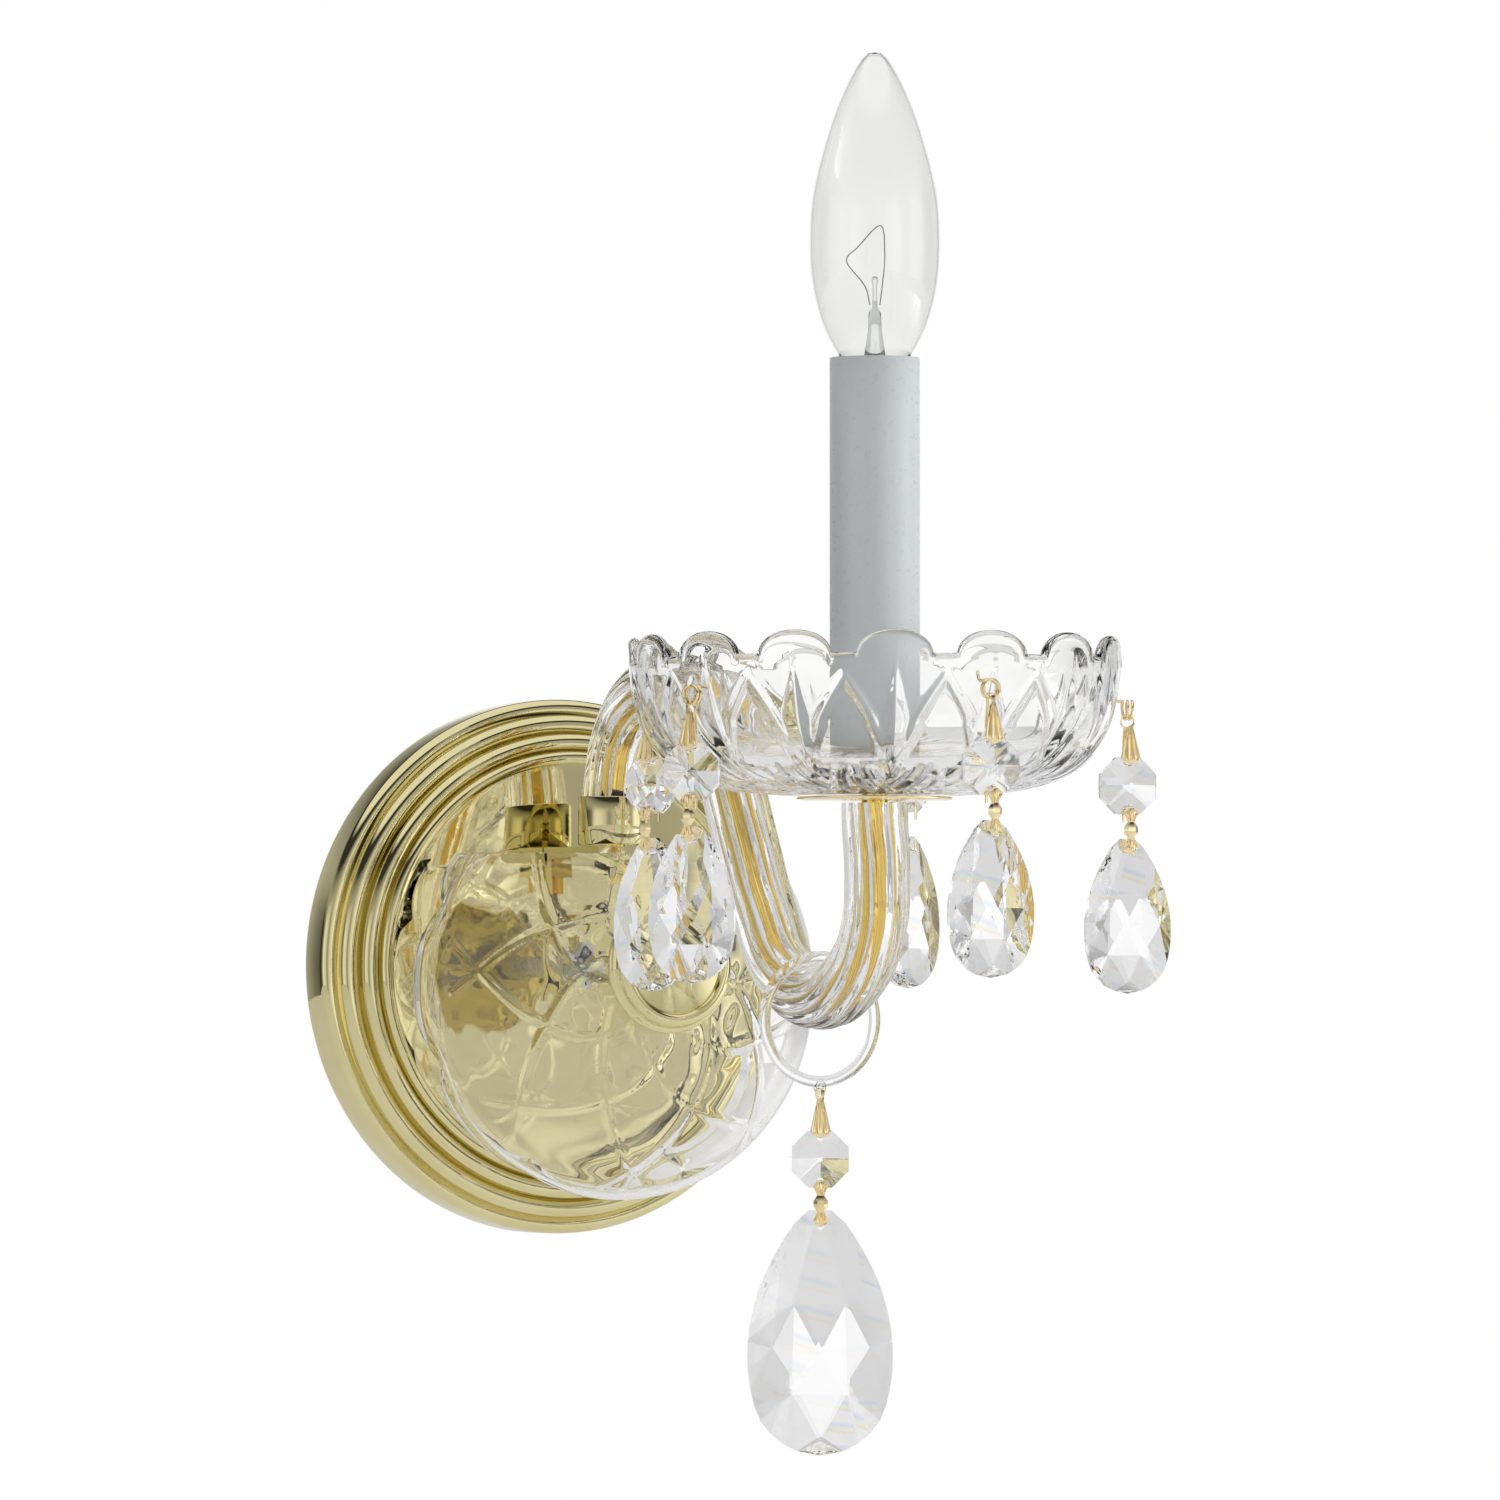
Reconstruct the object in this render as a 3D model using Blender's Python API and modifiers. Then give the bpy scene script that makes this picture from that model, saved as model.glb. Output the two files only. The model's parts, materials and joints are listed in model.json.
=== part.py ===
"""Single-light electric candle wall sconce in brass and cut glass, in metres, +Z up.

The wall is the plane y = 0 and the sconce stands out from it along -Y. The origin is the centre of
the wall plate, on the wall. Every length below is in millimetres and is scaled by MM where it is used.
"""

import math

import bmesh
import bpy
from mathutils import Matrix, Vector

MM = 0.001
GAP = 0.3  # clearance between pieces that touch
TINY = 1e-6

# Wall plate and the rod through its centre
PLATE_R = 68.0
PLATE_FLAT = 17.0  # how far the flat middle stands off the wall
PLATE_SKIN = 1.1
ROD_R = 3.0
ROD_END = 70.4

# Arm
ARM_FOOT = 38.5  # distance of the arm's foot from the wall
CANDLE = 175.5  # distance of the candle's axis from the wall
ARM_R = 8.1
ARM_BORE = 4.3
TUBE_R = 3.2
TUBE_BORE = 2.35
ARM_LOW = -8.5  # height of the centreline at the bottom of the bend
ARM_LOW_AT = 147.5

# Half bowl over the wall plate
BOWL_Z = -5.0
BOWL_WALL = 3.6
BOWL_LOBES = 8
BOWL_DENT = 4.0  # how deep the notches between the rim's lobes are
BOWL_FADE = 12.0  # how far from the rim the lobes run out
BOWL_CUT = 28.0  # height at which the top of the bowl is sliced off

# Dish under the candle (bobeche)
DISH_BASE = 40.2
DISH_FLOOR = 45.5
DISH_LOBES = 15
DISH_RIM = 73.0
DISH_TAB = 5.6  # how far each rim scallop rises

# Candle
SLEEVE_R = 11.0
SLEEVE_BORE = 10.2
SLEEVE_TOP = 146.6
BULB_TIP = 221.0
BULB_TURN = -28.0  # how far round its own axis the lamp stands

# Hanging chains: pivots run downwards, each link's own size is measured from its upper pivot
HOLE_R = 1.3
COIL_R = 2.2
COIL_WIRE = 0.38
BAIL_LENGTH = 11.0
OCTAGON_HOLE = 5.2
OCTAGON_FLAT = 14.0
BOW_LENGTH = 11.3
DROP_HOLE_R = 0.75
SMALL_DROP = {"length": 38.0, "width": 22.0, "depth": 9.6, "hole": 3.9}
LARGE_DROP = {"length": 60.6, "width": 36.0, "depth": 14.0, "hole": 4.6}
GLASS_RING_R = 15.3
GLASS_RING_WIRE = 1.4
EYELET_R = 1.3
EYELET_WIRE = 0.45
RING_Z = ARM_LOW + ARM_R + GAP - GLASS_RING_R + GLASS_RING_WIRE

# name: (angle round the candle from straight out, hanging radius, hole height, angle the crystals face)
CHAINS = {
    "front": (-1.9, 61.0, 66.7, -8.0),
    "right": (71.0, 62.4, 63.4, -12.0),
    "left": (-73.9, 61.8, 65.5, -48.0),
    "rear_right": (143.6, 61.0, 65.0, 198.0),
    "rear_left": (-145.0, 61.0, 64.0, -63.0),
}
LARGE_FACING = -25.0

BRASS = ((0.80, 0.68, 0.33, 1.0), 0.12, 1.0)
GOLD = ((0.86, 0.62, 0.22, 1.0), 0.18, 1.0)
STEEL = ((0.62, 0.62, 0.60, 1.0), 0.35, 1.0)
GLASS = ((0.95, 0.97, 0.97, 0.35), 0.03, 0.0)
WHITE = ((0.72, 0.76, 0.78, 1.0), 0.35, 0.0)
DARK = ((0.10, 0.10, 0.10, 1.0), 0.6, 0.0)
RUBBER = ((0.75, 0.74, 0.70, 1.0), 0.7, 0.0)
SOLDER = ((0.55, 0.55, 0.56, 1.0), 0.4, 1.0)


# ------------------------------------------------------------------ scene and materials


def clear_scene():
    for obj in list(bpy.data.objects):
        bpy.data.objects.remove(obj, do_unlink=True)


def new_collection(name):
    made = bpy.data.collections.new(name)
    bpy.context.scene.collection.children.link(made)
    return made


def give_material(obj, look):
    colour, roughness, metallic = look
    made = bpy.data.materials.new(obj.name)
    made.use_nodes = True
    shader = made.node_tree.nodes["Principled BSDF"]
    shader.inputs["Base Color"].default_value = (*colour[:3], 1.0)
    shader.inputs["Alpha"].default_value = colour[3]
    shader.inputs["Roughness"].default_value = roughness
    shader.inputs["Metallic"].default_value = metallic
    made.diffuse_color = colour
    obj.data.materials.clear()
    obj.data.materials.append(made)


clear_scene()
PARTS = new_collection("wall_sconce")
CUTTERS = new_collection("cutters")


def new_object(name, mesh, look=None):
    obj = bpy.data.objects.new(name, mesh)
    PARTS.objects.link(obj)
    if look:
        give_material(obj, look)
    return obj


def shade(obj):
    obj.data.shade_smooth()
    obj.data.set_sharp_from_angle(angle=math.radians(35))


# ------------------------------------------------------------------ shape helpers


def out_from_wall(obj, at=0.0, z=0.0):
    """Turns a piece modelled along +Z so that it points out from the wall."""
    obj.rotation_euler = (math.radians(90), 0.0, 0.0)
    obj.location = (0.0, -at * MM, z * MM)


def turned(name, profile, look, steps=32, closed=True):
    """A turned piece: profile is (radius, height) points, down the outer side and up the inner one."""
    mesh = bpy.data.meshes.new(name)
    verts = [(r * MM, 0.0, z * MM) for r, z in profile]
    count = len(verts)
    edges = [(i, (i + 1) % count) for i in range(count if closed else count - 1)]
    mesh.from_pydata(verts, edges, [])
    obj = new_object(name, mesh, look)
    screw = obj.modifiers.new("turn", "SCREW")
    screw.steps = steps
    screw.render_steps = steps
    screw.use_merge_vertices = True
    screw.merge_threshold = 0.00001
    screw.use_normal_calculate = False
    return obj


def frozen(obj):
    """The object with its modifiers applied, at the same place."""
    graph = bpy.context.evaluated_depsgraph_get()
    mesh = bpy.data.meshes.new_from_object(obj.evaluated_get(graph))
    obj.modifiers.clear()
    obj.data = mesh
    return obj


def arc(centre, radius, start, end, count):
    """Points (across, up) on an arc, angles in degrees from the first axis."""
    made = []
    for i in range(count + 1):
        a = math.radians(start + (end - start) * i / count)
        made.append((centre[0] + radius * math.cos(a), centre[1] + radius * math.sin(a)))
    return made


def cylinder(name, start, direction, radius, length, sides=12):
    """A rod cutter from start along direction."""
    mesh = bpy.data.meshes.new(name)
    bm = bmesh.new()
    bmesh.ops.create_cone(
        bm, cap_ends=True, segments=sides, radius1=radius * MM, radius2=radius * MM, depth=length * MM
    )
    bmesh.ops.translate(bm, verts=bm.verts, vec=(0.0, 0.0, length * MM / 2))
    bm.to_mesh(mesh)
    bm.free()
    obj = bpy.data.objects.new(name, mesh)
    CUTTERS.objects.link(obj)
    obj.hide_render = True
    obj.display_type = "WIRE"
    turn = Vector(direction).to_track_quat("Z", "Y")
    obj.matrix_world = Matrix.Translation(Vector(start) * MM) @ turn.to_matrix().to_4x4()
    return obj


def box_cutter(name, low, high):
    mesh = bpy.data.meshes.new(name)
    bm = bmesh.new()
    bmesh.ops.create_cube(bm, size=1.0)
    size = [(h - l) * MM for l, h in zip(low, high)]
    bmesh.ops.scale(bm, verts=bm.verts, vec=size)
    bmesh.ops.translate(bm, verts=bm.verts, vec=[(l + h) / 2 * MM for l, h in zip(low, high)])
    bm.to_mesh(mesh)
    bm.free()
    obj = bpy.data.objects.new(name, mesh)
    CUTTERS.objects.link(obj)
    obj.hide_render = True
    obj.display_type = "WIRE"
    return obj


def cut(obj, *cutters, operation="DIFFERENCE"):
    for cutter in cutters:
        made = obj.modifiers.new(cutter.name, "BOOLEAN")
        made.operation = operation
        made.solver = "EXACT"
        made.object = cutter


def loft(name, sections, look):
    """Skins a row of equal-sided sections and closes both ends."""
    bm = bmesh.new()
    rings = [[bm.verts.new(Vector(p) * MM) for p in section] for section in sections]
    sides = len(rings[0])
    for low, high in zip(rings, rings[1:]):
        for i in range(sides):
            j = (i + 1) % sides
            bm.faces.new((low[i], low[j], high[j], high[i]))
    bm.faces.new(rings[0])
    bm.faces.new(list(reversed(rings[-1])))
    bmesh.ops.recalc_face_normals(bm, faces=bm.faces)
    mesh = bpy.data.meshes.new(name)
    bm.to_mesh(mesh)
    bm.free()
    return new_object(name, mesh, look)


def hooped(name, hoops, look):
    """Skins a closed row of equal hoops, the last joined to the first, as round a lobed dish."""
    bm = bmesh.new()
    rings = [[bm.verts.new(Vector(p) * MM) for p in hoop] for hoop in hoops]
    sides = len(rings[0])
    for k, low in enumerate(rings):
        high = rings[(k + 1) % len(rings)]
        for i in range(sides):
            j = (i + 1) % sides
            bm.faces.new((low[i], low[j], high[j], high[i]))
    bmesh.ops.recalc_face_normals(bm, faces=bm.faces)
    mesh = bpy.data.meshes.new(name)
    bm.to_mesh(mesh)
    bm.free()
    return new_object(name, mesh, look)


def strip(name, path, look, twist=0.0, twist_from=-0.6, twist_to=-2.0):
    """A bent strip. path rows are (y, z, width, thickness); it turns by twist degrees below twist_from."""
    sections = []
    for k, (y, z, width, thick) in enumerate(path):
        before = path[max(k - 1, 0)]
        after = path[min(k + 1, len(path) - 1)]
        run = Vector((after[0] - before[0], after[1] - before[1])).normalized()
        side = Vector((-run.y, run.x)) * thick / 2
        share = min(max((twist_from - z) / (twist_from - twist_to), 0.0), 1.0)
        turn = Matrix.Rotation(math.radians(twist) * share, 3, "Z")
        corners = [
            (-width / 2, y - side.x, z - side.y),
            (width / 2, y - side.x, z - side.y),
            (width / 2, y + side.x, z + side.y),
            (-width / 2, y + side.x, z + side.y),
        ]
        sections.append([turn @ Vector(c) for c in corners])
    return loft(name, sections, look)


def wire(name, points, radius, look, resolution=1, bezier=False, cyclic=False, capped=True):
    """A round wire or rod along points, made a mesh with its caps welded."""
    curve = bpy.data.curves.new(name, "CURVE")
    curve.dimensions = "3D"
    curve.bevel_depth = radius * MM
    curve.bevel_resolution = resolution
    curve.use_fill_caps = capped
    curve.twist_mode = "MINIMUM"
    if bezier:
        curve.resolution_u = 3
        spline = curve.splines.new("BEZIER")
        spline.bezier_points.add(len(points) - 1)
        for point, where in zip(spline.bezier_points, points):
            point.co = Vector(where) * MM
            point.handle_left_type = "AUTO"
            point.handle_right_type = "AUTO"
    else:
        spline = curve.splines.new("POLY")
        spline.points.add(len(points) - 1)
        for point, where in zip(spline.points, points):
            point.co = (*(Vector(where) * MM), 1.0)
        spline.use_cyclic_u = cyclic
    guide = bpy.data.objects.new(name + "_guide", curve)
    CUTTERS.objects.link(guide)
    bpy.context.view_layer.update()
    graph = bpy.context.evaluated_depsgraph_get()
    mesh = bpy.data.meshes.new_from_object(guide.evaluated_get(graph))
    bpy.data.objects.remove(guide, do_unlink=True)
    bm = bmesh.new()
    bm.from_mesh(mesh)
    bmesh.ops.remove_doubles(bm, verts=bm.verts, dist=TINY)
    bmesh.ops.recalc_face_normals(bm, faces=bm.faces)
    bm.to_mesh(mesh)
    bm.free()
    mesh.name = name
    obj = new_object(name, mesh, look)
    shade(obj)
    return obj


def hex_nut(name, across, height, bore, look):
    """A hexagon nut standing on z = 0."""
    radius = across / math.sqrt(3)
    profile = [(radius, height), (radius, 0.0), (bore / math.cos(math.pi / 6), 0.0)]
    profile.append((bore / math.cos(math.pi / 6), height))
    return turned(name, profile, look, steps=6)


# ------------------------------------------------------------------ wall side


def make_backplate():
    """Spun brass plate: plain skirt, rolled lip, three ridges and a flat polished middle."""
    outer = [(ROD_R + 0.4, PLATE_FLAT), (50.6, PLATE_FLAT)]
    outer += arc((53.0, 16.6), 1.5, 150, 20, 3)
    outer += arc((56.9, 14.9), 2.1, 130, 0, 3)
    outer += arc((61.5, 11.9), 2.3, 135, 0, 3)
    outer += arc((65.6, 8.6), 2.4, 90, 0, 3)
    outer += [(PLATE_R, 1.0), (PLATE_R - 0.4, 0.0)]
    inner = [(PLATE_R - 1.4, 0.0), (PLATE_R - 1.4, 8.4), (63.6, 9.6), (60.0, 12.4)]
    inner += [(55.2, 15.0), (51.0, PLATE_FLAT - PLATE_SKIN), (ROD_R + 0.4, PLATE_FLAT - PLATE_SKIN)]
    obj = turned("backplate", outer + inner, BRASS, steps=48)
    out_from_wall(obj)
    cut(obj, cylinder("plate_wire_hole", (0, -25, 13), (0, 1, 0), 4.6, 15))


def make_crossbar():
    """Steel strap that screws to the wall box, with a slot near each end and a tapped middle."""
    half_length = 51.0
    half_width = 10.0
    thick = 2.0
    mesh = bpy.data.meshes.new("crossbar")
    bm = bmesh.new()
    bmesh.ops.create_cube(bm, size=1.0)
    bmesh.ops.scale(bm, verts=bm.verts, vec=(2 * half_length * MM, thick * MM, 2 * half_width * MM))
    bmesh.ops.translate(bm, verts=bm.verts, vec=(0, -thick / 2 * MM, 0))
    bm.to_mesh(mesh)
    bm.free()
    obj = new_object("crossbar", mesh, STEEL)
    cut(obj, cylinder("crossbar_tapping", (0, -5, 0), (0, 1, 0), ROD_R + GAP, 10, 16))
    for side in (-1, 1):
        ends = sorted((side * 34.0, side * 45.0))
        slot = box_cutter(f"crossbar_slot_{side}", (ends[0], -5, -2.5), (ends[1], 5, 2.5))
        cut(obj, slot)
        cut(obj, cylinder(f"ground_tapping_{side}", (side * 20, -5, 0), (0, 1, 0), 2.0, 10, 12))


def make_rod():
    profile = [(0.0, ROD_END), (ROD_R - 0.5, ROD_END), (ROD_R, ROD_END - 0.6), (ROD_R, 0.0), (0.0, 0.0)]
    obj = turned("centre_rod", profile, STEEL, steps=16, closed=False)
    out_from_wall(obj)


def make_rod_hardware():
    lock = hex_nut("rod_lock_nut", 10.0, 3.0, ROD_R + GAP, STEEL)
    out_from_wall(lock, 2.3)
    clamp = hex_nut("plate_nut", 11.0, 4.0, ROD_R + GAP, STEEL)
    out_from_wall(clamp, PLATE_FLAT + 3.1)
    bowl = hex_nut("bowl_nut", 11.0, 3.4, ROD_R + GAP, BRASS)
    out_from_wall(bowl, 57.0)
    rubber = [(7.5, 1.2), (7.5, 0.0), (ROD_R + GAP, 0.0), (ROD_R + GAP, 1.2)]
    washer = turned("bowl_washer", rubber, RUBBER, steps=24)
    out_from_wall(washer, 65.6)


def make_knob():
    """Brass knob that holds the bowl on: a stepped back ring and a raised round edge."""
    outer = [(0.0, 71.8), (11.8, 71.8)]
    outer += arc((13.8, 71.7), 1.7, 170, 10, 4)
    outer += [(15.5, 70.4), (16.1, 69.8)]
    outer += arc((16.1, 68.7), 1.2, 60, -60, 3)
    outer += [(13.9, 67.2), (ROD_R + 0.35, 67.2), (ROD_R + 0.35, 70.7), (0.0, 70.7)]
    obj = turned("knob", outer, BRASS, steps=32, closed=False)
    out_from_wall(obj)


def make_arm_bracket():
    """Brass angle bracket: an upright clamped to the wall plate and a shelf that carries the arm."""
    back = PLATE_FLAT + GAP
    thick = 2.5
    shelf_top = 30.0
    reach = ARM_FOOT + 9.0
    outline = [
        (back, -9.0),
        (back + thick, -9.0),
        (back + thick, shelf_top - thick),
        (reach, shelf_top - thick),
        (reach, shelf_top),
        (back, shelf_top),
    ]
    half_width = 9.0
    ends = [[(x, -d, z) for d, z in outline] for x in (-half_width, half_width)]
    obj = loft("arm_bracket", ends, BRASS)
    cut(
        obj,
        cylinder("bracket_rod_hole", (0, -back - 6, 0), (0, 1, 0), ROD_R + GAP, 12, 16),
        cylinder("bracket_wire_hole", (0, -back - 6, 13), (0, 1, 0), 4.0, 12),
        cylinder("bracket_arm_hole", (0, -ARM_FOOT, shelf_top - 6), (0, 0, 1), TUBE_R + GAP, 12, 16),
    )


def make_ferrule():
    """Brass cup that the arm's glass foot is seated in."""
    base, top, radius = 30.3, 42.6, 9.0
    profile = [(radius, top), (radius, base), (TUBE_R + GAP, base), (TUBE_R + GAP, base + 1.0)]
    profile += [(ARM_R + 0.4, base + 1.0), (ARM_R + 0.4, top)]
    obj = turned("arm_ferrule", profile, BRASS, steps=32)
    obj.location = (0.0, -ARM_FOOT * MM, 0.0)


def make_bowl():
    """Half bowl of pressed glass over the wall plate, lobed at its rim and sliced flat on top."""
    shell = [(30.0, 52.4), (36.0, 53.8), (44.0, 54.0), (50.0, 51.2), (55.5, 45.4), (60.0, 35.8)]
    shell += [(63.4, 23.0), (65.1, 10.0), (65.1, ROD_R + GAP)]
    count = 64
    hoops = []
    for k in range(count):
        angle = 2 * math.pi * k / count
        dent = BOWL_DENT * (1.0 - abs(math.cos(BOWL_LOBES / 2 * angle))) ** 2
        outer = []
        inner = []
        for at, radius in shell:
            reach = radius - dent * max(0.0, 1.0 - (at - 30.0) / BOWL_FADE)
            outer.append((reach, at))
            back = min(BOWL_WALL, max(0.0, (at - 36.0) / 4.0))
            inner.append((reach - BOWL_WALL * min(1.0, radius / 40.0) if radius > 9 else reach, at - back))
        # The dish's own centre is a little under the rod, so its rim is shifted down and its hole is not.
        points = []
        for reach, at in outer + inner[::-1]:
            drop = BOWL_Z * min(1.0, max(0.0, (reach - 8.0) / 20.0))
            points.append((reach * math.cos(angle), -at, reach * math.sin(angle) + drop))
        hoops.append(points)
    obj = hooped("half_bowl", hoops, GLASS)
    shade(obj)
    cut(obj, box_cutter("bowl_slice", (-80, -80, BOWL_CUT), (80, 0, 90)))


# ------------------------------------------------------------------ arm


def arm_route():
    """Key points (distance from wall, height) of the arm's centreline, foot to candle."""
    arch = [(ARM_FOOT, 32.0), (ARM_FOOT, 37.5), (39.1, 44.6), (45.0, 59.2), (56.0, 67.6), (70.0, 70.3)]
    arch += [(84.0, 66.8), (95.0, 56.6), (103.0, 42.0)]
    sweep = [(110.4, 27.6), (118.6, 12.4), (131.0, -3.2), (ARM_LOW_AT, ARM_LOW)]
    rise = [(165.4, -3.1), (174.9, 8.0), (176.7, 21.0), (CANDLE, 34.0), (CANDLE, 38.4)]
    return arch + sweep + rise


def make_arm():
    route = [(0.0, -d, z) for d, z in arm_route()]
    outer = wire("glass_arm", route, ARM_R, GLASS, resolution=4, bezier=True, capped=False)
    hollow(outer, ARM_R - ARM_BORE)
    foot = [(0.0, -ARM_FOOT, 19.5), (0.0, -ARM_FOOT, 25.0)]
    tube_route = foot + route + [(0.0, -CANDLE, 54.0)]
    tube = wire("arm_tube", tube_route, TUBE_R, GOLD, resolution=2, bezier=True, capped=False)
    hollow(tube, TUBE_R - TUBE_BORE)
    nut = hex_nut("arm_nut", 11.0, 3.4, TUBE_R + GAP, BRASS)
    nut.location = (0.0, -ARM_FOOT * MM, 23.7 * MM)


def hollow(obj, wall):
    """Gives an open tube skin its wall, inwards."""
    made = obj.modifiers.new("wall", "SOLIDIFY")
    made.thickness = wall * MM
    made.offset = -1.0
    made.use_rim = True


def make_wires():
    """The two supply wires, from the plate's cavity through the arm's tube to the socket."""
    lead_in = [(7.0, 13.0), (21.0, 13.0), (32.5, 13.4), (ARM_FOOT, 18.0), (ARM_FOOT, 25.0)]
    lead_out = [(CANDLE, 54.0), (CANDLE, 110.0)]
    for name, side, look in (("line_wire", -1, DARK), ("neutral_wire", 1, WHITE)):
        route = [(side * 1.05, -d, z) for d, z in lead_in + arm_route() + lead_out]
        wire(name, route, 0.65, look, resolution=1, bezier=True)


# ------------------------------------------------------------------ dish and candle


def make_dish_plate():
    outer = [(19.0, 39.85), (19.0, 39.2), (12.0, 38.9), (TUBE_R + GAP, 38.9), (TUBE_R + GAP, 39.85)]
    obj = turned("dish_plate", outer, BRASS, steps=40)
    obj.location = (0.0, -CANDLE * MM, 0.0)


def make_dish():
    """Cut glass dish: a flat floor, a round turn and an upright wall with a scalloped rim."""
    outside = [(4.6, DISH_BASE), (20.0, DISH_BASE), (34.0, 41.2), (42.6, 43.2), (48.6, 45.9)]
    outside += [(53.2, 50.2), (57.0, 56.6), (58.8, 63.6), (59.7, 70.0)]
    inside = [(56.7, 70.0), (55.6, 63.6), (53.3, 56.8), (49.0, 51.4), (43.0, 48.0), (34.0, 46.0)]
    inside += [(20.0, DISH_FLOOR), (4.6, DISH_FLOOR)]
    count = DISH_LOBES * 4
    hoops = []
    for k in range(count):
        angle = 2 * math.pi * k / count - math.pi / 2
        wave = 0.5 + 0.5 * math.cos(DISH_LOBES * (angle + math.pi / 2))
        top = DISH_RIM + DISH_TAB * min(1.0, wave * 1.25)
        rim = [(60.0, top - 0.9), (59.3, top), (57.6, top), (56.9, top - 0.9)]
        hoop = outside + rim + inside
        hoops.append([(r * math.cos(angle), r * math.sin(angle), z) for r, z in hoop])
    obj = hooped("bobeche", hoops, GLASS)
    obj.location = (0.0, -CANDLE * MM, 0.0)
    shade(obj)
    for name, (angle, _, height, _) in CHAINS.items():
        out = Vector((*facing(angle), 0.0))
        start = Vector((0.0, -CANDLE, height)) + out * 50.0
        cut(obj, cylinder(f"dish_hole_{name}", start, out, HOLE_R, 14.0, 10))


def make_candle():
    """Everything that stands on the dish: washer, nut, riser, socket and the sleeve over them."""
    bore = TUBE_R + GAP
    pieces = [
        turned("dish_washer", [(8.5, 46.6), (8.5, 45.8), (bore, 45.8), (bore, 46.6)], STEEL, steps=24),
        turned("socket_riser", [(4.6, 105.6), (4.6, 50.7), (3.5, 50.7), (3.5, 105.6)], STEEL, steps=16),
        turned("socket_body", socket_profile(), DARK, steps=24),
        turned(
            "socket_shell",
            [(6.9, 139.0), (6.9, 114.6), (3.2, 114.6), (3.2, 115.1), (6.4, 115.1), (6.4, 139.0)],
            BRASS,
            steps=20,
        ),
        turned(
            "candle_sleeve",
            [(SLEEVE_R, SLEEVE_TOP), (SLEEVE_R, 45.8), (SLEEVE_BORE, 45.8), (SLEEVE_BORE, SLEEVE_TOP)],
            WHITE,
            steps=32,
        ),
    ]
    nut = hex_nut("dish_nut", 12.0, 3.4, bore, BRASS)
    nut.location = (0.0, -CANDLE * MM, 46.9 * MM)
    for piece in pieces:
        piece.location = (0.0, -CANDLE * MM, 0.0)
        shade(piece)
    leaf = [(-3.4, 112.0, 3.0, 0.5), (-0.2, 112.2, 3.0, 0.5), (0.9, 113.6, 3.0, 0.5), (1.2, 116.5, 2.6, 0.5)]
    leaf += [(0.4, 120.2, 2.4, 0.5), (-1.6, 120.7, 2.4, 0.5)]
    contact = strip("socket_contact", leaf, BRASS)
    contact.location = (0.0, -CANDLE * MM, 0.0)


def socket_profile():
    """Moulded socket: a cup whose floor has the hole that both wires come up through."""
    outer = [(8.9, 140.0), (8.9, 106.0), (2.6, 106.0), (2.6, 110.6), (7.3, 110.6), (7.3, 140.0)]
    return outer


# ------------------------------------------------------------------ lamp


def make_lamp():
    """Clear candle lamp: glass, screw base, contact, glass stem and the filament on its leads."""
    glass = bulb_outline()
    inner = [(max(r - 0.8, 0.0), z - (1.2 if r < 1.0 else 0.25)) for r, z in glass]
    profile = glass + list(reversed(inner))
    envelope = turned("bulb_glass", profile, GLASS, steps=28, closed=False)
    base = [(5.9, 140.6), (5.9, 126.4), (4.9, 124.4), (2.8, 123.2), (1.2, 123.2), (1.2, 124.4)]
    base += [(4.4, 126.6), (5.35, 127.6), (5.35, 140.6)]
    screw_base = turned("bulb_base", base, SOLDER, steps=24)
    tip = [(0.0, 122.9), (2.2, 122.9), (2.2, 122.4), (1.4, 121.6), (0.0, 121.3)]
    contact = turned("bulb_contact", tip, SOLDER, steps=12, closed=False)
    stem_outline = [(0.0, 166.6), (0.9, 166.0), (0.9, 165.0), (0.55, 164.2), (0.6, 158.8), (1.5, 157.6)]
    stem_outline += [(1.7, 153.0), (2.5, 148.0), (3.5, 141.5), (3.6, 139.0), (0.0, 139.0)]
    stem = turned("bulb_stem", stem_outline, GLASS, steps=12, closed=False)
    filament_route = [(-1.2, 159.4), (-2.4, 164.0), (-6.4, 169.0), (-6.6, 171.2), (-4.4, 173.2)]
    filament_route += [(1.4, 178.8), (2.4, 171.6), (1.9, 165.0), (1.2, 159.4)]
    route = [(x, -0.9, z) for x, z in filament_route]
    filament = wire("bulb_filament", route, 0.22, STEEL, resolution=1)
    for piece in (envelope, screw_base, contact, stem, filament):
        piece.location = (0.0, -CANDLE * MM, 0.0)
        piece.rotation_euler = (0.0, 0.0, math.radians(BULB_TURN))
    for piece in (envelope, screw_base, stem):
        shade(piece)


def bulb_outline():
    """Outer (radius, height) of the torpedo glass, tip to neck."""
    return [
        (0.0, BULB_TIP),
        (1.9, 220.6),
        (3.5, 219.0),
        (5.3, 216.1),
        (7.7, 211.3),
        (10.4, 204.5),
        (12.5, 197.7),
        (14.3, 190.9),
        (15.5, 184.1),
        (16.0, 176.0),
        (15.75, 168.0),
        (14.5, 160.4),
        (12.4, 153.6),
        (9.6, 148.2),
        (7.2, 144.4),
        (5.0, 141.6),
        (4.95, 133.0),
    ]


# ------------------------------------------------------------------ hanging crystals


def facing(angle):
    return (math.sin(math.radians(angle)), -math.cos(math.radians(angle)))


def place(obj, across, depth, height, angle):
    obj.location = (across * MM, depth * MM, height * MM)
    obj.rotation_euler = (0.0, 0.0, math.radians(angle))


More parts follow.
